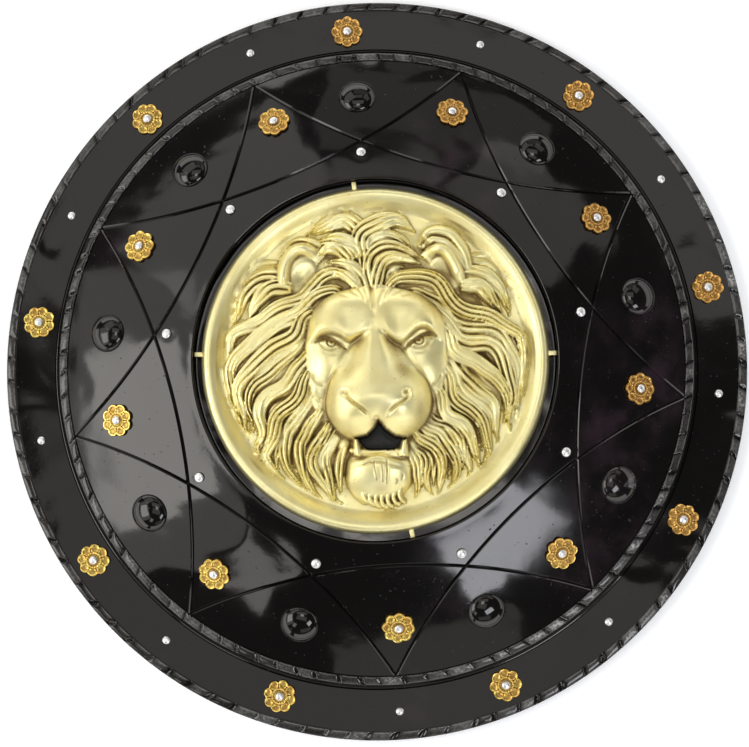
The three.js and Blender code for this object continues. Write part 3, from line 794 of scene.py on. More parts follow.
# the ears: rim, hollow and the shell under them
ears = [
    ((-69, 50, -73, 62, -71, 76, -63, 86, -53, 86, -44, 78),
     (-57, 65, 9.5, 13, -0.6), (-60, 68, 14.5, 19, -0.3)),
    ((41, 79, 48, 87, 56, 85, 62.5, 76, 67, 65, 71, 54),
     (53, 69, 9, 12, 0.75), (57, 71, 14.5, 19, 0.35)),
]


def earHeight(x, y, rim, hollow, shell):
    floor = medallion["dishFloor"]
    whole = swell(x, y, *shell[:4], 0.5, shell[4])
    height = np.where(whole > 0, floor + 4 + 10 * whole - 8 * bell(x, y, *hollow), 0)

    def roll(far, share):
        return np.maximum(0, 1 - (far / 6.3) ** 2) ** 0.9 * ease(0, 0.25, share) * ease(1, 0.7, share)
    return raised(height, lineField(x, y, rim, 6.5, roll), floor + 6.5, 10.5)


# widths of the face and of the muzzle: height on the face, left edge, right edge
faceEdge = [(-70, -22, 26), (-62, -33, 38), (-54, -40.5, 44.5), (-44, -47, 49.5), (-32, -52, 53),
            (-20, -54.5, 56), (-8, -56, 59), (6, -56.5, 60), (18, -56, 59.5), (30, -54, 56.5),
            (40, -49, 49.5), (48, -40.5, 40.5), (54, -27, 28.5), (58, -8, 10)]
muzzleEdge = [(-66, -18, 22), (-61, -27, 31), (-55, -33, 38), (-46, -38.5, 44), (-36, -39.8, 46),
              (-27, -38.5, 45), (-16, -35, 40.5), (-6, -29, 32), (2, -24, 25.5), (10, -18.5, 19),
              (18, -12, 11.5), (26, -12, 11.5), (34, -12, 12)]
browLine = [(-54, 9), (-48, 14.5), (-42, 18.5), (-35, 19.5), (-28, 17.5), (-21, 13.5), (-14, 16), (-7, 20),
            (0, 22), (7, 20), (13, 14.5), (19, 11.5), (25, 15), (32, 21.5), (38, 24), (44, 21.5),
            (50, 16.5), (56, 10)]
skullTop = [(-70, 53), (-60, 56), (-45, 59), (-30, 62), (-15, 66), (0, 68), (15, 70), (30, 72.5),
            (40, 71.5), (48, 68), (56, 62)]
muzzleTop = [(-66, 66), (-60, 72), (-52, 79), (-46, 83.5), (-38, 87.5), (-30, 89), (-20, 87), (-8, 83),
             (4, 80), (14, 77.5), (24, 76), (34, 74)]


def between(x, y, edges):  # -1 to 1 from the left edge to the right one, at each height
    rows, sides = np.array(edges, float), []
    for side in (1, 2):
        line = smoothLine(rows[:, [0, side]].ravel(), 8)
        sides.append(np.interp(y, line[:, 0], line[:, 1]))
    left, right = sides
    return (2 * x - left - right) / (right - left)


def along(at, curve):  # a value read off a smooth curve
    line = smoothLine(np.array(curve, float).ravel(), 8)
    return np.interp(at, line[:, 0], line[:, 1])


def bell(x, y, middleX, middleY, halfX, halfY, turn=0.0):
    c, s = math.cos(turn), math.sin(turn)
    across, up = (x - middleX) * c + (y - middleY) * s, (y - middleY) * c - (x - middleX) * s
    return np.exp(-(across / halfX) ** 2 - (up / halfY) ** 2)


# soft forms on the face: middle, half widths, turn, height
faceForms = [
    (-25, 43, 17, 9, 0.1, 1.6), (27, 43, 17, 9, -0.1, 1.6),  # forehead
    (-37, -5, 13, 14, 0.2, 2.6), (39, -4, 13, 14, -0.2, 2.6),  # cheeks
    (-21, 9, 8, 5, 0.5, -1.7), (21, 7, 8, 5, -0.6, -1.5),  # inner corners of the eyes
    (-36, 11.5, 10, 6, 0.0, -2.2), (37, 13, 10, 6, 0.1, -2.2),  # sockets
    (-35, 10.8, 8.5, 4.2, -0.1, 3.6), (36, 12.6, 8.5, 4.4, 0.15, 3.6),  # eyes
    (-20, -48, 13, 12, 0.3, 3.2), (24, -48, 14, 12, -0.3, 3.4),  # lips
    (1, -33, 19, 9, 0.0, 2.2),  # end of the nose
    (-27.5, -31, 4, 5, 0.3, 1.2), (29, -29, 4, 5, -0.3, 1.6),  # wings of the nose
    (-23.5, -29, 2.4, 2.8, 0.3, -2.6), (24.5, -28.5, 2.4, 2.8, -0.3, -3.4),
    (-48, -25, 5, 6, 0.5, 2.5), (50, -25, 5, 6, -0.5, 2.5),  # whisker lobes
    (-46, -38, 4, 7, 0.3, 1.6), (48, -38, 4, 7, -0.3, 1.6),
]

# lines pressed into the face: way, width, depth
faceLines = [
    ((-47, 12, -42, 14.6, -38, 15.0, -33, 13.4, -28, 10.2, -23, 6.5), 1.5, 3.2),  # upper lids
    ((48, 16.5, 43.5, 18.6, 38, 17.6, 33, 14.6, 28, 11.2, 23, 6.5), 1.5, 3.2),
    ((-44, 11.5, -39.5, 7.4, -34, 5.6, -27, 7.4), 1.2, 1.6),  # lower lids
    ((45, 14.5, 40.5, 9.6, 35, 7.6, 28, 8.6), 1.2, 1.6),
    ((-42, 6, -36, 2.8, -29, 3.5), 1.6, 0.6),
    ((43, 8, 37, 4.6, 30, 5), 1.6, 0.6),
    ((-8, 20, -14, 14.5, -20, 8, -26, -2, -32, -12, -38, -21), 1.7, 1.2),  # nose and muzzle from the cheeks
    ((7, 19.5, 14, 13.5, 20, 8.5, 27, -1, 35, -11, 43, -21), 1.6, 1.4),
    ((-51, -11, -46, -18.5, -38, -22.5), 1.5, 1.6),  # under the cheeks
    ((53, -11, 50, -18, 44.5, -22), 1.5, 1.6),
    ((-50, -29, -45, -33, -41, -33), 1.3, 1.0),
    ((52, -29, 49, -33, 46, -33), 1.3, 1.0),
    ((-22, -27.3, -21.3, -31.3, -17.8, -35.4, -11.5, -40, -3.4, -46.8), 1.3, 2.8),  # under the nose
    ((27, -27, 26.4, -31.3, 22, -35.6, 15.5, -39.8, 9.6, -46.8), 1.3, 2.8),
    ((1.5, -46, 1.5, -52), 2.4, 2.2),
    ((-5, 64, -2.5, 50, -1, 33), 1.8, 2.4),  # parting of the forehead
    ((-9, 57, -6, 48, -4, 39), 1.2, 1.2), ((-15, 57, -10, 50, -7, 43), 1.2, 1.2),
    ((-22, 55, -16, 51, -11, 47), 1.2, 1.0), ((-29, 51, -24, 49, -19, 47), 1.2, 0.8),
    ((8, 57, 5, 48, 3, 40), 1.2, 1.2), ((15, 57, 10, 51, 7, 44), 1.2, 1.2),
    ((22, 55, 17, 52, 12, 48), 1.2, 1.0), ((29, 51, 25, 50, 20, 48), 1.2, 0.8),
]


def lidLine(x):  # height of the upper lids
    left, right = (np.array(faceLines[n][0]).reshape(-1, 2) for n in (0, 1))
    right = right[::-1]
    return np.where(x < 0, np.interp(x, left[:, 0], left[:, 1]), np.interp(x, right[:, 0], right[:, 1]))


def eyesAt(x, y):  # for each eye: how far from its middle, and 1 where the lid is open
    shown = ease(0.8, -0.6, y - lidLine(x))
    return [(np.hypot(x - eyeX, y - eyeY), shown) for eyeX, eyeY in medallion["eyes"]]


def skullHeight(x, y):  # the face without its muzzle: a vault with brows over the sockets
    vault = np.sqrt(np.maximum(0, 1 - between(x, y, faceEdge) ** 4))
    base = medallion["templeTop"] + (along(y, skullTop) - medallion["templeTop"]) * vault
    line = along(x, browLine)
    brow = medallion["brow"] * ease(56, 44, np.abs(x)) * (1 - 0.5 * bell(x, y, 0, 22, 7, 40))
    above = np.exp(-(np.maximum(0, y - line - 2.5) / 12) ** 2)
    aside = ease(4, 14, np.abs(x))  # no step under the brows between them
    base = base + brow * above * (1 - aside + aside * ease(line - 2.6, line + 3.0, y))
    socket = ease(line + 0.5, line - 2.5, y) * np.exp(-((line - y) / 12) ** 2)
    return base - medallion["socket"] * socket * ease(54, 40, np.abs(x)) * aside


def muzzleLift(x, y, base):  # how far the muzzle and the nose stand out of the face
    across = np.abs(between(x, y, muzzleEdge))
    upper = ease(-26, -4, y)
    flank = np.clip(across, 0, 1)
    full = np.maximum(0, 1 - flank ** 2.6) ** 0.6
    slim = 0.5 + 0.5 * np.cos(np.pi * np.clip((flank - 0.12) / 0.92, 0, 1))
    foot = np.minimum(along(y, skullTop) - 2.5, 66)
    muzzle = foot + (along(y, muzzleTop) - foot) * ((1 - upper) * full + upper * slim)
    lift = (smoothMax(base, muzzle, 1.6) - base) * ease(32, 10, y) * ease(1.0, 0.94, across)
    return np.where((across < 1) & (y > -66) & (y < 34), lift, 0)


def faceHeight(x, y):
    face = skullHeight(x, y)
    face = face + muzzleLift(x, y, face)
    for *form, rise in faceForms:
        face = face + rise * bell(x, y, *form)
    for line in faceLines:
        face = face + crease(x, y, *line)
    for far, shown in eyesAt(x, y):
        ring = np.exp(-((far - medallion["iris"]) / 0.8) ** 2)
        face = face - shown * (1.5 * ring + 1.8 * np.exp(-(far / 1.3) ** 2))
    inFace = (np.abs(between(x, y, faceEdge)) < 1) & (y > -70) & (y < 58)
    return np.where(inFace, face, 0)


def eyeShade(x, y):  # painted shade in the lid creases and in the pressed iris rings and pupils
    dark = np.zeros(x.shape)
    for way, width, depth in faceLines[:4]:
        shadeAndPatina = lineField(x, y, way, 3, lambda far, share: 0.35 * depth * np.exp(-(far / 1.1) ** 2))
        dark = np.maximum(dark, shadeAndPatina)
    for far, shown in eyesAt(x, y):
        dark = np.maximum(dark, shown * np.exp(-((far - medallion["iris"]) / 0.9) ** 2))
        dark = np.maximum(dark, shown * np.exp(-(far / 1.5) ** 2))
    return dark


# painted shade on the open face: middle x, y, half widths, how dark
paintedShadePatches = [
    (2.5, -53, 6, 5, 0.8), (-4, -41, 9, 7, 0.3), (9, -42, 8, 6, 0.33), (-21, -8, 7, 14, 0.28),
    (22, -10, 8, 13, 0.4), (35, -40, 5, 12, 0.4), (-32, -38, 4, 12, 0.3), (-18, -101, 9, 9, 0.45),
    (5, -103, 8, 5, 0.45), (20, -104, 8, 6, 0.25), (-44, 40, 8, 10, 0.42), (43, 42, 8, 10, 0.38),
    (-26, 45, 9, 6, 0.25), (24, 46, 9, 6, 0.22), (3, -62, 16, 3, 0.4),
]


def paintedShadeAt(x, y):
    dark = np.zeros(x.shape)
    for *form, amount in paintedShadePatches:
        dark = np.maximum(dark, amount * bell(x, y, *form))
    # painted shade in the cracks of the chin
    for way, width, depth in chinLines[2:]:
        crack = lineField(x, y, way, 3, lambda far, share: 0.8 * np.exp(-(far / 0.7) ** 2))
        dark = np.maximum(dark, crack)
    return dark


# the open mouth: height on the face, left edge, right edge
mouthEdge = [(-72, -6, 15), (-69, -9.5, 18.5), (-66, -12, 21), (-63.2, -15.8, 24.5), (-61.2, -6.5, 15.5),
             (-56, -1, 8), (-50, 2.2, 3)]


def insideMouth(x, y):
    at, left, right = np.array(mouthEdge).T
    across = (x > np.interp(y, at, left)) & (x < np.interp(y, at, right))
    return across & (y > at[0]) & (y < at[-1])


lipLine = (-18, -73, -9, -73.5, 2, -73, 12, -73, 24, -73.5)
chinEdge = [(-115, -9, 14), (-108, -18, 22), (-98, -23.5, 29.5), (-88, -24, 32), (-80, -23, 31.5),
            (-75, -20.5, 29), (-72, -17, 25)]
chinTop = [(-115, 50), (-108, 55), (-98, 61.5), (-90, 65), (-84, 66), (-80, 65), (-76, 65), (-72, 63)]
chinLines = [
    ((-19, -79.5, -9, -78.5, 2, -75.6, 13, -78, 24, -80.5), 1.1, 2.4),  # fold under the lip
    ((-18, -84.5, -8, -83, 2, -80.5, 13, -83.5, 24, -86), 1.6, 0.9),
    ((-0.6, -81, 0.2, -88, 1.4, -96), 0.5, 0.8), ((5.4, -84, 6.2, -90, 6, -97), 0.5, 0.8),
    ((9.2, -80, 9.8, -89, 9.2, -99), 0.6, 1.2), ((17, -95, 17.6, -97, 16.6, -99), 0.7, 1.0),
    ((21.6, -91, 21.8, -93.5, 21, -96), 0.7, 1.0), ((-9, -84, -4, -82, -1.5, -83), 0.6, 0.6),
]


def chinHeight(x, y):
    u = between(x, y, chinEdge)
    foot = medallion["dishFloor"] + 5
    chin = foot - 3 + (along(y, chinTop) + 3 - foot) * np.maximum(0, 1 - np.abs(u) ** 2.4) ** 0.62
    for line in chinLines:
        chin = chin + crease(x, y, *line)
    height = np.where((np.abs(u) < 1) & (y > -115) & (y < -72), chin, 0)
    lip = lineField(x, y, lipLine, 2.4, lambda far, share: np.sqrt(np.maximum(0, 1 - (far / 2.2) ** 2)))
    height = raised(height, lip, 62, 4)
    for corner in (-24, 29.5):  # corners of the mouth
        height = raised(height, swell(x, y, corner, -68, 7, 10, 0.9, corner / 60), 51, 8)
    return height


def fangHeight(x, y):
    height = np.zeros(x.shape)
    above = y - medallion["fangRoot"]
    up = above / medallion["fangLength"]  # 0 at the root, 1 at the tip
    half = medallion["fangHalf"] * (1 - 0.5 * np.clip(up, 0, 1))
    for middle, lean in medallion["fangs"]:
        across = np.abs(x - middle - lean * above) / half
        fang = 60 + 7.5 * np.sqrt(np.maximum(0, 1 - across ** 2))
        inside = (across < 1) & (up > -0.1) & (up < 1)
        height = np.where(inside, np.maximum(height, fang), height)
    return height


def beardHeight(x, y):  # tufts under the chin, each hooked to the right
    height = np.zeros(x.shape)
    for i in range(7):
        middle, drop = -8 + 4.7 * i, 3.5 * math.cos(0.6 * (i - 3))
        way = (middle, -103 - drop, middle - 1, -108 - drop, middle + 0.5, -112 - drop,
               middle + 2.6 + i % 2, -113.5 - drop)
        full = lineField(x, y, way, 3.5, lambda far, share: 1 - (far / (2.7 - 0.8 * share)) ** 2)
        height = raised(height, np.maximum(0, full) ** 0.5, medallion["dishFloor"] + 3, 6)
    return height


def reliefHeight(x, y):
    radius = np.hypot(x, y)
    mound = medallion["dishFloor"] + 8 * (1 - ease(70, 112, radius))
    height = np.maximum(dishHeight(radius), np.where(radius < 125, mound, 0))
    height = np.maximum(height, maneHeight(x, y))
    for ear in ears:
        height = np.maximum(height, earHeight(x, y, *ear))
    for part in (faceHeight, chinHeight, beardHeight):
        height = np.maximum(height, part(x, y))
    mouth = insideMouth(x, y)
    height = np.where(mouth, medallion["foot"] + 5, height)
    fangs = fangHeight(x, y)
    return np.maximum(height, fangs), mouth & (fangs == 0)


def ringPoints(radius, count):
    turn = 2 * np.pi * np.arange(count) / count
    return radius * np.cos(turn), radius * np.sin(turn)


def stitchRings(counts):  # faces between rings of points, from the middle out to the last
    faces, first = [], 0
    for lower, upper in zip(counts, counts[1:]):
        second = first + lower
        i = j = 0
        while i < (lower if lower > 1 else 0) or j < (upper if upper > 1 else 0):
            lowerNext = (i + 1) / lower if lower > 1 else math.inf
            upperNext = (j + 1) / upper if upper > 1 else math.inf
            if lowerNext <= upperNext:
                faces.append((first + i % lower, second + j % upper, first + (i + 1) % lower))
                i += 1
            else:
                faces.append((first + i % lower, second + j % upper, second + (j + 1) % upper))
                j += 1
        first = second
    return faces


def settled(points, faces, rounds):  # every point's height averaged with its neighbours'
    edges = np.sort(np.vstack([faces[:, [0, 1]], faces[:, [1, 2]], faces[:, [2, 0]]]), axis=1)
    edges = np.unique(edges, axis=0)
    uses = np.bincount(edges.ravel(), minlength=len(points))
    height = points.copy()
    for _ in range(rounds):
        total = np.bincount(edges[:, 0], height[edges[:, 1]], len(points))
        total += np.bincount(edges[:, 1], height[edges[:, 0]], len(points))
        height = 0.5 * height + 0.5 * total / uses
    return height


def shadeAndPatinaAt(x, y, height, faces, inFace):  # 0 to 1, how dark the brass is painted: hollows (painted shade with patina), lids and shaded places (painted shade)
    around = settled(height, faces, 40)
    wide = settled(around, faces, 120)
    bare = (np.hypot(x, y) > 96) & (height < medallion["dishFloor"] + 4)
    # painted shade with patina: the deeper below its neighbours, the darker
    shadeAndPatina = np.clip((around - height) / 2.0, 0, 1) * np.where(bare, 0.35, 1)
    shadeAndPatina = np.maximum(shadeAndPatina, 0.55 * np.clip((wide - height) / 5, 0, 1) * np.where(bare, 0.2, 1))
    shadeAndPatina = shadeAndPatina * np.where(inFace, 0.75, 1)
    return np.maximum(np.maximum(shadeAndPatina, eyeShade(x, y)), paintedShadeAt(x, y))


def medallionTab(degrees):
    start, end = medallion["radius"] - 3, medallion["tabEnd"]
    deselectAll()
    bpy.ops.mesh.primitive_cube_add(size=mm)
    tab = context.object
    editAll()
    bpy.ops.transform.resize(value=(end - start, medallion["tabWidth"], medallion["tabThick"]))
    bpy.ops.mesh.bevel(offset=0.6 * mm, segments=3, affect="EDGES")
    leaveEdit()
    spot = ((start + end) / 2 * mm, 0, (medallion["lipTop"] - 5.5) * mm)
    tab.data.transform(spun(degrees) @ Matrix.Translation(spot))
    return tab


def makeMedallion():
    rings, dish, edge, edgeSteps = (medallion[key] for key in ("rings", "dishRadius", "edge", "edgeSteps"))
    radii = [dish * n / rings for n in range(rings + 1)] + list(edge)
    counts = [1] + [6 * n for n in range(1, rings + 1)] + [edgeSteps] * len(edge)
    xs, ys = zip(*[ringPoints(radius, count) for radius, count in zip(radii, counts)])
    x, y = np.concatenate(xs), np.concatenate(ys)
    height, mouth = reliefHeight(x, y)
    front = len(x)
    for radius, level, count in medallion["back"]:
        moreX, moreY = ringPoints(radius, count)
        x, y = np.concatenate([x, moreX]), np.concatenate([y, moreY])
        height = np.concatenate([height, np.full(count, float(level))])
        counts.append(count)
    faces = stitchRings(counts)
    triangles = np.array(faces)
    soft = 0.7 * height + 0.3 * settled(height, triangles, 1)
    height = np.where(np.hypot(x, y) < dish, soft, height)
    inFace = (np.abs(between(x, y, faceEdge)) < 0.96) & (y > -68) & (y < 52)
    recess = shadeAndPatinaAt(x, y, height, triangles, inFace)
    piece = newPiece("lionMedallion", np.stack([x, y, height], 1), faces)
    editAll()
    bpy.ops.mesh.normals_make_consistent(inside=False)
    leaveEdit()
    normals = np.empty(len(x) * 3, dtype=np.float32)
    piece.data.vertex_normals.foreach_get("vector", normals)
    steepShade = np.clip((0.85 - normals[2::3]) / 0.5, 0, 1)  # painted shade: steep sides are darker
    shadeAmount = np.where(inFace, medallion["steepOnFace"], medallion["steepElsewhere"])
    recess = np.clip(recess + steepShade * shadeAmount, 0, 1)
    onFront = np.arange(len(x)) < front
    # recess: painted shade with patina on the front, an even 0.4 on the back
    paint(piece, "recess", np.where(onFront, recess, 0.4))
    paint(piece, "mouthBlack", np.concatenate([mouth, np.zeros(len(x) - front)]))
    piece = joinPieces([piece] + [medallionTab(degrees) for degrees in medallion["tabs"]])
    dress(piece, 60, castBrass)
    hand(piece, ["lion_medallion"])
    print("medallion made, faces:", len(piece.data.polygons), "top:", round(float(height.max()), 2))


makeMedallion()


# rosettes and nails

trim = {
    "outerRing": 280.5, "innerRing": 213, "rosetteRadius": 13.4, "petals": 8,
    "lobe": 4.6, "rings": 24, "round": 144, "seat": 2.2, "gap": 0.3, "settle": 0.25, "dent": 0.012,
    "scoop": 0.9, "disc": 0.45, "collar": 0.6, "flute": 0.22, "camber": 0.35,
    "rimNail": (282, 3.4, 2.6), "collarNail": (168, 3.9, 2.6), "rosetteNail": (3.4, 2.2),
}


def rosettePattern():  # a stamped rosette: scooped round petals with raised rims
    count, petals, reach, lobe = (trim[key] for key in ("round", "petals", "rosetteRadius", "lobe"))
    middle = reach - lobe  # from the rosette's middle to a petal's
    turn = 2 * np.pi * np.arange(count) / count
    swing = ((turn * petals / (2 * np.pi) + 0.5) % 1 - 0.5) * 2 * np.pi / petals
    outline = middle * np.cos(swing) + np.sqrt(lobe ** 2 - (middle * np.sin(swing)) ** 2)
    rings = [[(0, 0, 1.8, 0.3)]]  # x, y, height and painted shade of each point
    for ring in range(1, trim["rings"] + 1):
        radius = outline * ring / trim["rings"]
        along, aside = radius * np.cos(swing), radius * np.sin(swing)
        inside = lobe - np.hypot(along - middle, aside)
        wedge = np.minimum(radius * np.sin(math.pi / petals - np.abs(swing)), lobe)
        inside = np.where(along < middle, wedge, inside)
        disc = ease(6.6, 5.9, radius)
        edge = np.maximum(disc, ease(-0.2, 0.5, inside))
        scoop = ease(0.9, 2.6, inside) * ease(6.8, 8.4, radius)
        collar = np.exp(-((radius - 5.7) / 0.6) ** 2) + 0.6 * np.exp(-((radius - 4.1) / 0.45) ** 2)
        flutes = np.cos(2 * petals * turn) * ease(4.2, 5.4, radius) * disc
        height = 1.0 + 1.1 * edge - trim["scoop"] * scoop - trim["disc"] * disc
        height = height + trim["collar"] * collar + trim["flute"] * flutes
        height = height + trim["camber"] * (1 - (radius / reach) ** 2)
        # painted shade: darker in the scoops between the rims, at the collar's foot and in a ring round the
        # nail
        ringed = 0.7 * np.exp(-((radius - 6.9) / 0.5) ** 2) + 0.8 * np.exp(-((radius - 4.6) / 0.8) ** 2)
        recess = np.clip((1 - edge) * 1.3 + 0.62 * scoop + 1.1 * ringed, 0, 1)
        rings.append(np.stack([radius * np.cos(turn), radius * np.sin(turn), height, recess], 1))
    # the edge and the underside get half the painted shade
    for share, level in ((1.0, 0.9), (0.985, 0.0), (0.0, 0.0)):
        radius, same = share * outline, np.ones(count)
        row = np.stack([radius * np.cos(turn), radius * np.sin(turn), level * same, 0.5 * same], 1)
        rings.append(row if share else row[:1])
    points = np.vstack(rings)
    piece = newPiece("rosettePattern", points[:, :3], stitchRings([len(row) for row in rings]))
    paint(piece, "recess", points[:, 3])
    cleanUp(piece)
    dress(piece, 50, giltBrass)
    return piece


def nailPattern(name, radius, height):  # a domed head with a thin skirt
    skirt = 0.35
    turns = np.linspace(math.pi / 2, 0, 12)
    dome = [(radius * math.sin(a), skirt + (height - skirt) * math.cos(a)) for a in turns]
    piece = turned(name, [(0, 0), (radius - 0.25, 0), (radius, 0.12)] + dome, 40)
    dress(piece, 50, nailSilver)
    return piece


def dented(piece, chance):  # no two stampings are quite alike
    points = readPoints(piece)
    middle = (points.max(0) + points.min(0)) / 2
    way = np.array([chance.uniform(-1, 1) for _ in range(3)])
    wave = np.sin((points - middle) @ way * 0.5 + chance.uniform(0, 6))
    points += (points - middle) * trim["dent"] * wave[:, None]
    writePoints(piece, points)


def ringOf(name):  # the frame's nodes of one kind, each with its turn in degrees
    found = []
    for node in sorted(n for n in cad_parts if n.rsplit("_", 1)[0] == name):
        low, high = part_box(node)
        middle = (low + high) / 2
        found.append((node, math.degrees(math.atan2(middle.y, middle.x))))
    return found


def plainName(node):
    first, *rest = node.split("_")
    return first + "".join(word.title() for word in rest)


def makeTrim():
    chance = Random(5)
    rosette = rosettePattern()
    rosetteNail = nailPattern("rosetteNailPattern", *trim["rosetteNail"])
    for kind, settle in (("outer", 0), ("inner", trim["settle"])):
        ring, lift = trim[kind + "Ring"], trim["gap"] + settle
        for node, degrees in ringOf(kind + "_rosette"):
            piece = copyOf(rosette, plainName(node), onFace(ring, degrees, lift, chance.uniform(0, 45)))
            dented(piece, chance)
            hand(piece, [node])
        for node, degrees in ringOf(kind + "_rosette_nail"):
            place = onFace(ring, degrees, lift + trim["seat"] + trim["gap"])
            hand(copyOf(rosetteNail, plainName(node), place), [node])
    for name in ("rim_nail", "collar_nail"):
        ring, radius, height = trim[plainName(name)]
        pattern = nailPattern(plainName(name) + "Pattern", radius, height)
        for node, degrees in ringOf(name):
            place = onFace(ring, degrees, trim["gap"])
            hand(copyOf(pattern, plainName(node), place), [node])
        bpy.data.objects.remove(pattern)
    bpy.data.objects.remove(rosette)
    bpy.data.objects.remove(rosetteNail)
    print("rosettes and nails set")


makeTrim()


# straps on the back

strap = {
    "thick": 3.6, "foot": 26, "drop": 24, "top": 29.7, "round": 1.0, "stitchEvery": 5.0, "stitchIn": 4.0,
    "stitch": (1.7, 0.45, 0.4),
    "arm": (230, 45, 55), "grip": (170, 30, -62),  # length, width, place off the middle
    "rivet": ((0, 1), (5.6, 1), (5.6, 0.5), (5.2, -0.3), (4.6, -0.5), (4.3, -1.2), (3.2, -2.1), (1.7, -2.5),
              (0, -2.6)),
}


def strapLevel(along, reach):  # height of the strap's middle layer along it
    bow = strap["drop"] * ease(reach - strap["foot"], reach * 0.25, np.abs(along))
    return strap["top"] - strap["thick"] / 2 - bow


def stitchRow(reach, offset, y):
    deselectAll()
    bpy.ops.mesh.primitive_uv_sphere_add(segments=8, ring_count=6, radius=mm)
    pattern = context.object
    pattern.data.materials.append(waxedThread)
    stitches = []
    for along in np.arange(-reach + 5, reach - 4, strap["stitchEvery"]):
        rise = float(strapLevel(along + 1, reach) - strapLevel(along - 1, reach))
        level = float(strapLevel(along, reach)) - strap["thick"] / 2 - 0.05
        place = Matrix.Translation(Vector((along, y + offset, level)) * mm)
        place = place @ Matrix.Rotation(-math.atan2(rise, 2), 4, "Y") @ Matrix.Diagonal((*strap["stitch"], 1))
        stitches.append(copyOf(pattern, "stitch", place))
    bpy.data.objects.remove(pattern)
    return stitches


def makeStrap(name, node, size):
    length, width, y = size
    reach, thick = length / 2, strap["thick"]
    deselectAll()
    bpy.ops.mesh.primitive_cube_add(size=mm)
    piece = context.object
    piece.name = name
    editAll()
    bpy.ops.transform.resize(value=(length, width, thick))
    leaveEdit()
    finishModifier(piece, "BEVEL", width=strap["round"] * mm, segments=3)
    editAll()
    for along in np.linspace(-reach, reach, 61)[1:-1]:
        bpy.ops.mesh.select_all(action="SELECT")
        bpy.ops.mesh.bisect(plane_co=(along * mm, 0, 0), plane_no=(1, 0, 0))
    leaveEdit()
    points = readPoints(piece)
    edge = np.clip((np.abs(points[:, 1]) - (width / 2 - 2.5)) / 2.5, 0, 1)
    points[:, 2] = strapLevel(points[:, 0], reach) + points[:, 2] * (1 - 0.12 * edge)
    points[:, 1] += y
    writePoints(piece, points)
    paint(piece, "worn", 0.8 * edge)
    piece.data.materials.append(strapLeather)
    parts = [piece]
    inset = width / 2 - strap["stitchIn"]
    for offset in (-inset, inset):
        parts += stitchRow(reach, offset, y)
    rivet = turned("rivetPattern", strap["rivet"], 32)
    rivet.data.materials.append(nailSilver)
    for side in (-1, 1):
        spot = Vector((side * (reach - strap["foot"] / 2), y, strap["top"] - thick)) * mm
        parts.append(copyOf(rivet, "rivet", Matrix.Translation(spot)))
    bpy.data.objects.remove(rivet)
    piece = joinPieces(parts)
    smooth(piece, 45)
    hand(piece, [node])


makeStrap("armStrap", "arm_strap", strap["arm"])
makeStrap("handGrip", "hand_grip", strap["grip"])
print("straps made")


# floor, light and camera

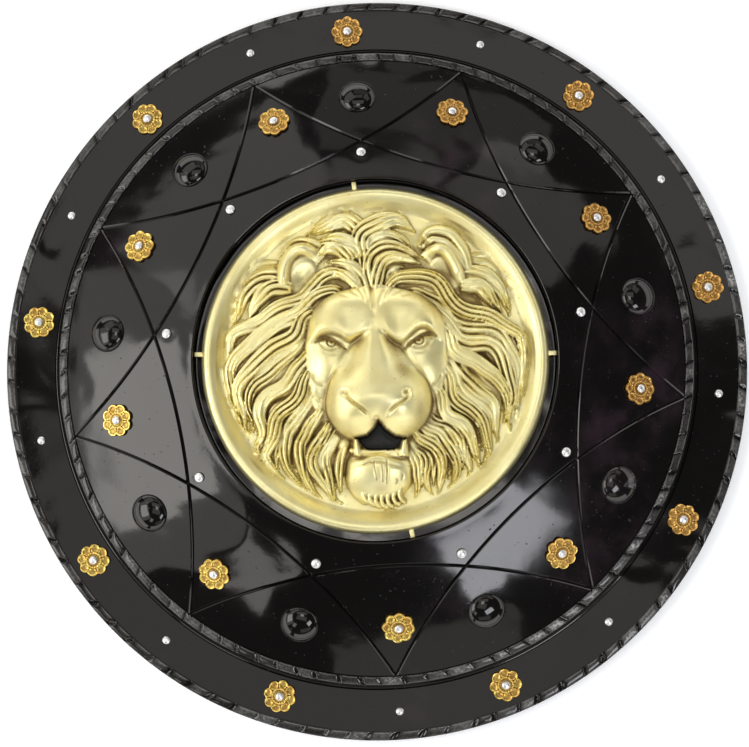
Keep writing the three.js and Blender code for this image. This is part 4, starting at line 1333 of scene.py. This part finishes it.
studio = {
    "floor": 40.0, "floorGlow": 0.24, "world": 0.08,
    "lens": 71.0, "from": (0.0164, -0.1065, 1.2202), "shift": (-0.0019, -0.0126),
    "right": (0.9999, 0.0012, -0.0134), "up": (0, 0.9962, 0.0873),
    # low, long lights all of one size (direction up, distance, width, height), then direction round: radiance
    "farSize": (12, 4.0, 6.0, 1.4), "far": {200: 2.2, 20: 1.6, 105: 2.2, 285: 1.9},
    # the others by name: direction round and up in degrees, distance, width, height, radiance, and a tint
    "lights": {
        "overhead": (90, 73, 3.0, 2.3, 1.0, 1.0),
        "zenith": (90, 87, 3.0, 0.7, 0.7, 4.2),
        "overheadLow": (256, 78, 3.0, 2.0, 1.1, 0.8),
        "nearTop": (88, 46, 3.0, 1.0, 0.55, 0.75),
        "wideLeft": (130, 41, 3.0, 2.1, 1.4, 1.1),
        "lowLeft": (190, 40, 3.0, 1.7, 1.1, 3.6),
        "leftGlow": (188, 39, 3.3, 3.4, 1.7, 1.1),
        "smallLow": (309, 49, 3.0, 1.15, 0.75, 8.0, (0.86, 0.90, 1.0)),
        "lowerLeft": (237, 42, 3.0, 0.5, 0.6, 2.4),
        "upperRight": (50, 42, 3.0, 1.4, 0.95, 0.75),
        "front": (280, 33, 3.0, 1.8, 0.6, 0.6),
        "top": (78, 31, 3.0, 2.2, 0.8, 0.4),
    },
}


def makeFloor():
    deselectAll()
    bpy.ops.mesh.primitive_plane_add(size=studio["floor"], location=(0, 0, cadBox[0].z - 0.0002))
    floor = context.object
    floor.name = "studioFloor"
    finish = Finish("palePaper")
    paper = finish.surface(Base_Color=tones["paper"], Roughness=0.9,
                           Emission_Color=tones["glow"], Emission_Strength=studio["floorGlow"])
    floor.data.materials.append(paper)


def makeLight(name, azimuth, elevation, distance, width, height, radiance, tint=(1, 1, 1)):
    turn, rise = math.radians(azimuth), math.radians(elevation)
    flat = math.cos(rise)
    spot = Vector((math.cos(turn) * flat, math.sin(turn) * flat, math.sin(rise))) * distance
    data = bpy.data.lights.new(name, "AREA")
    data.shape, data.size, data.size_y = "RECTANGLE", width, height
    data.energy, data.color = radiance * math.pi * width * height, tint
    lamp = bpy.data.objects.new(name, data)
    lamp.location = spot
    lamp.rotation_euler = spot.to_track_quat("Z", "Y").to_euler()
    context.collection.objects.link(lamp)


def makeStudio():
    makeFloor()
    for name, values in studio["lights"].items():
        makeLight(name, *values)
    for azimuth, radiance in studio["far"].items():
        makeLight(f"far{azimuth}", azimuth, *studio["farSize"], radiance)
    world = bpy.data.worlds.new("studioWorld")
    context.scene.world = world
    world.use_nodes = True
    background = world.node_tree.nodes["Background"]
    background.inputs["Color"].default_value = (1.0, 0.99, 0.97, 1.0)
    background.inputs["Strength"].default_value = studio["world"]
    data = bpy.data.cameras.new("studioCamera")
    data.lens = studio["lens"]
    data.shift_x, data.shift_y = studio["shift"]
    data.clip_start, data.clip_end = 0.05, 60
    camera = bpy.data.objects.new("studioCamera", data)
    context.collection.objects.link(camera)
    right, up = Vector(studio["right"]), Vector(studio["up"])
    back = right.cross(up).normalized()
    up = back.cross(right).normalized()
    place = Matrix((right, up, back)).transposed().to_4x4()
    place.translation = studio["from"]
    camera.matrix_world = place
    context.scene.camera = camera
    context.scene.view_settings.view_transform = "Standard"
    context.scene.view_settings.look = "None"


makeStudio()
print("studio made")
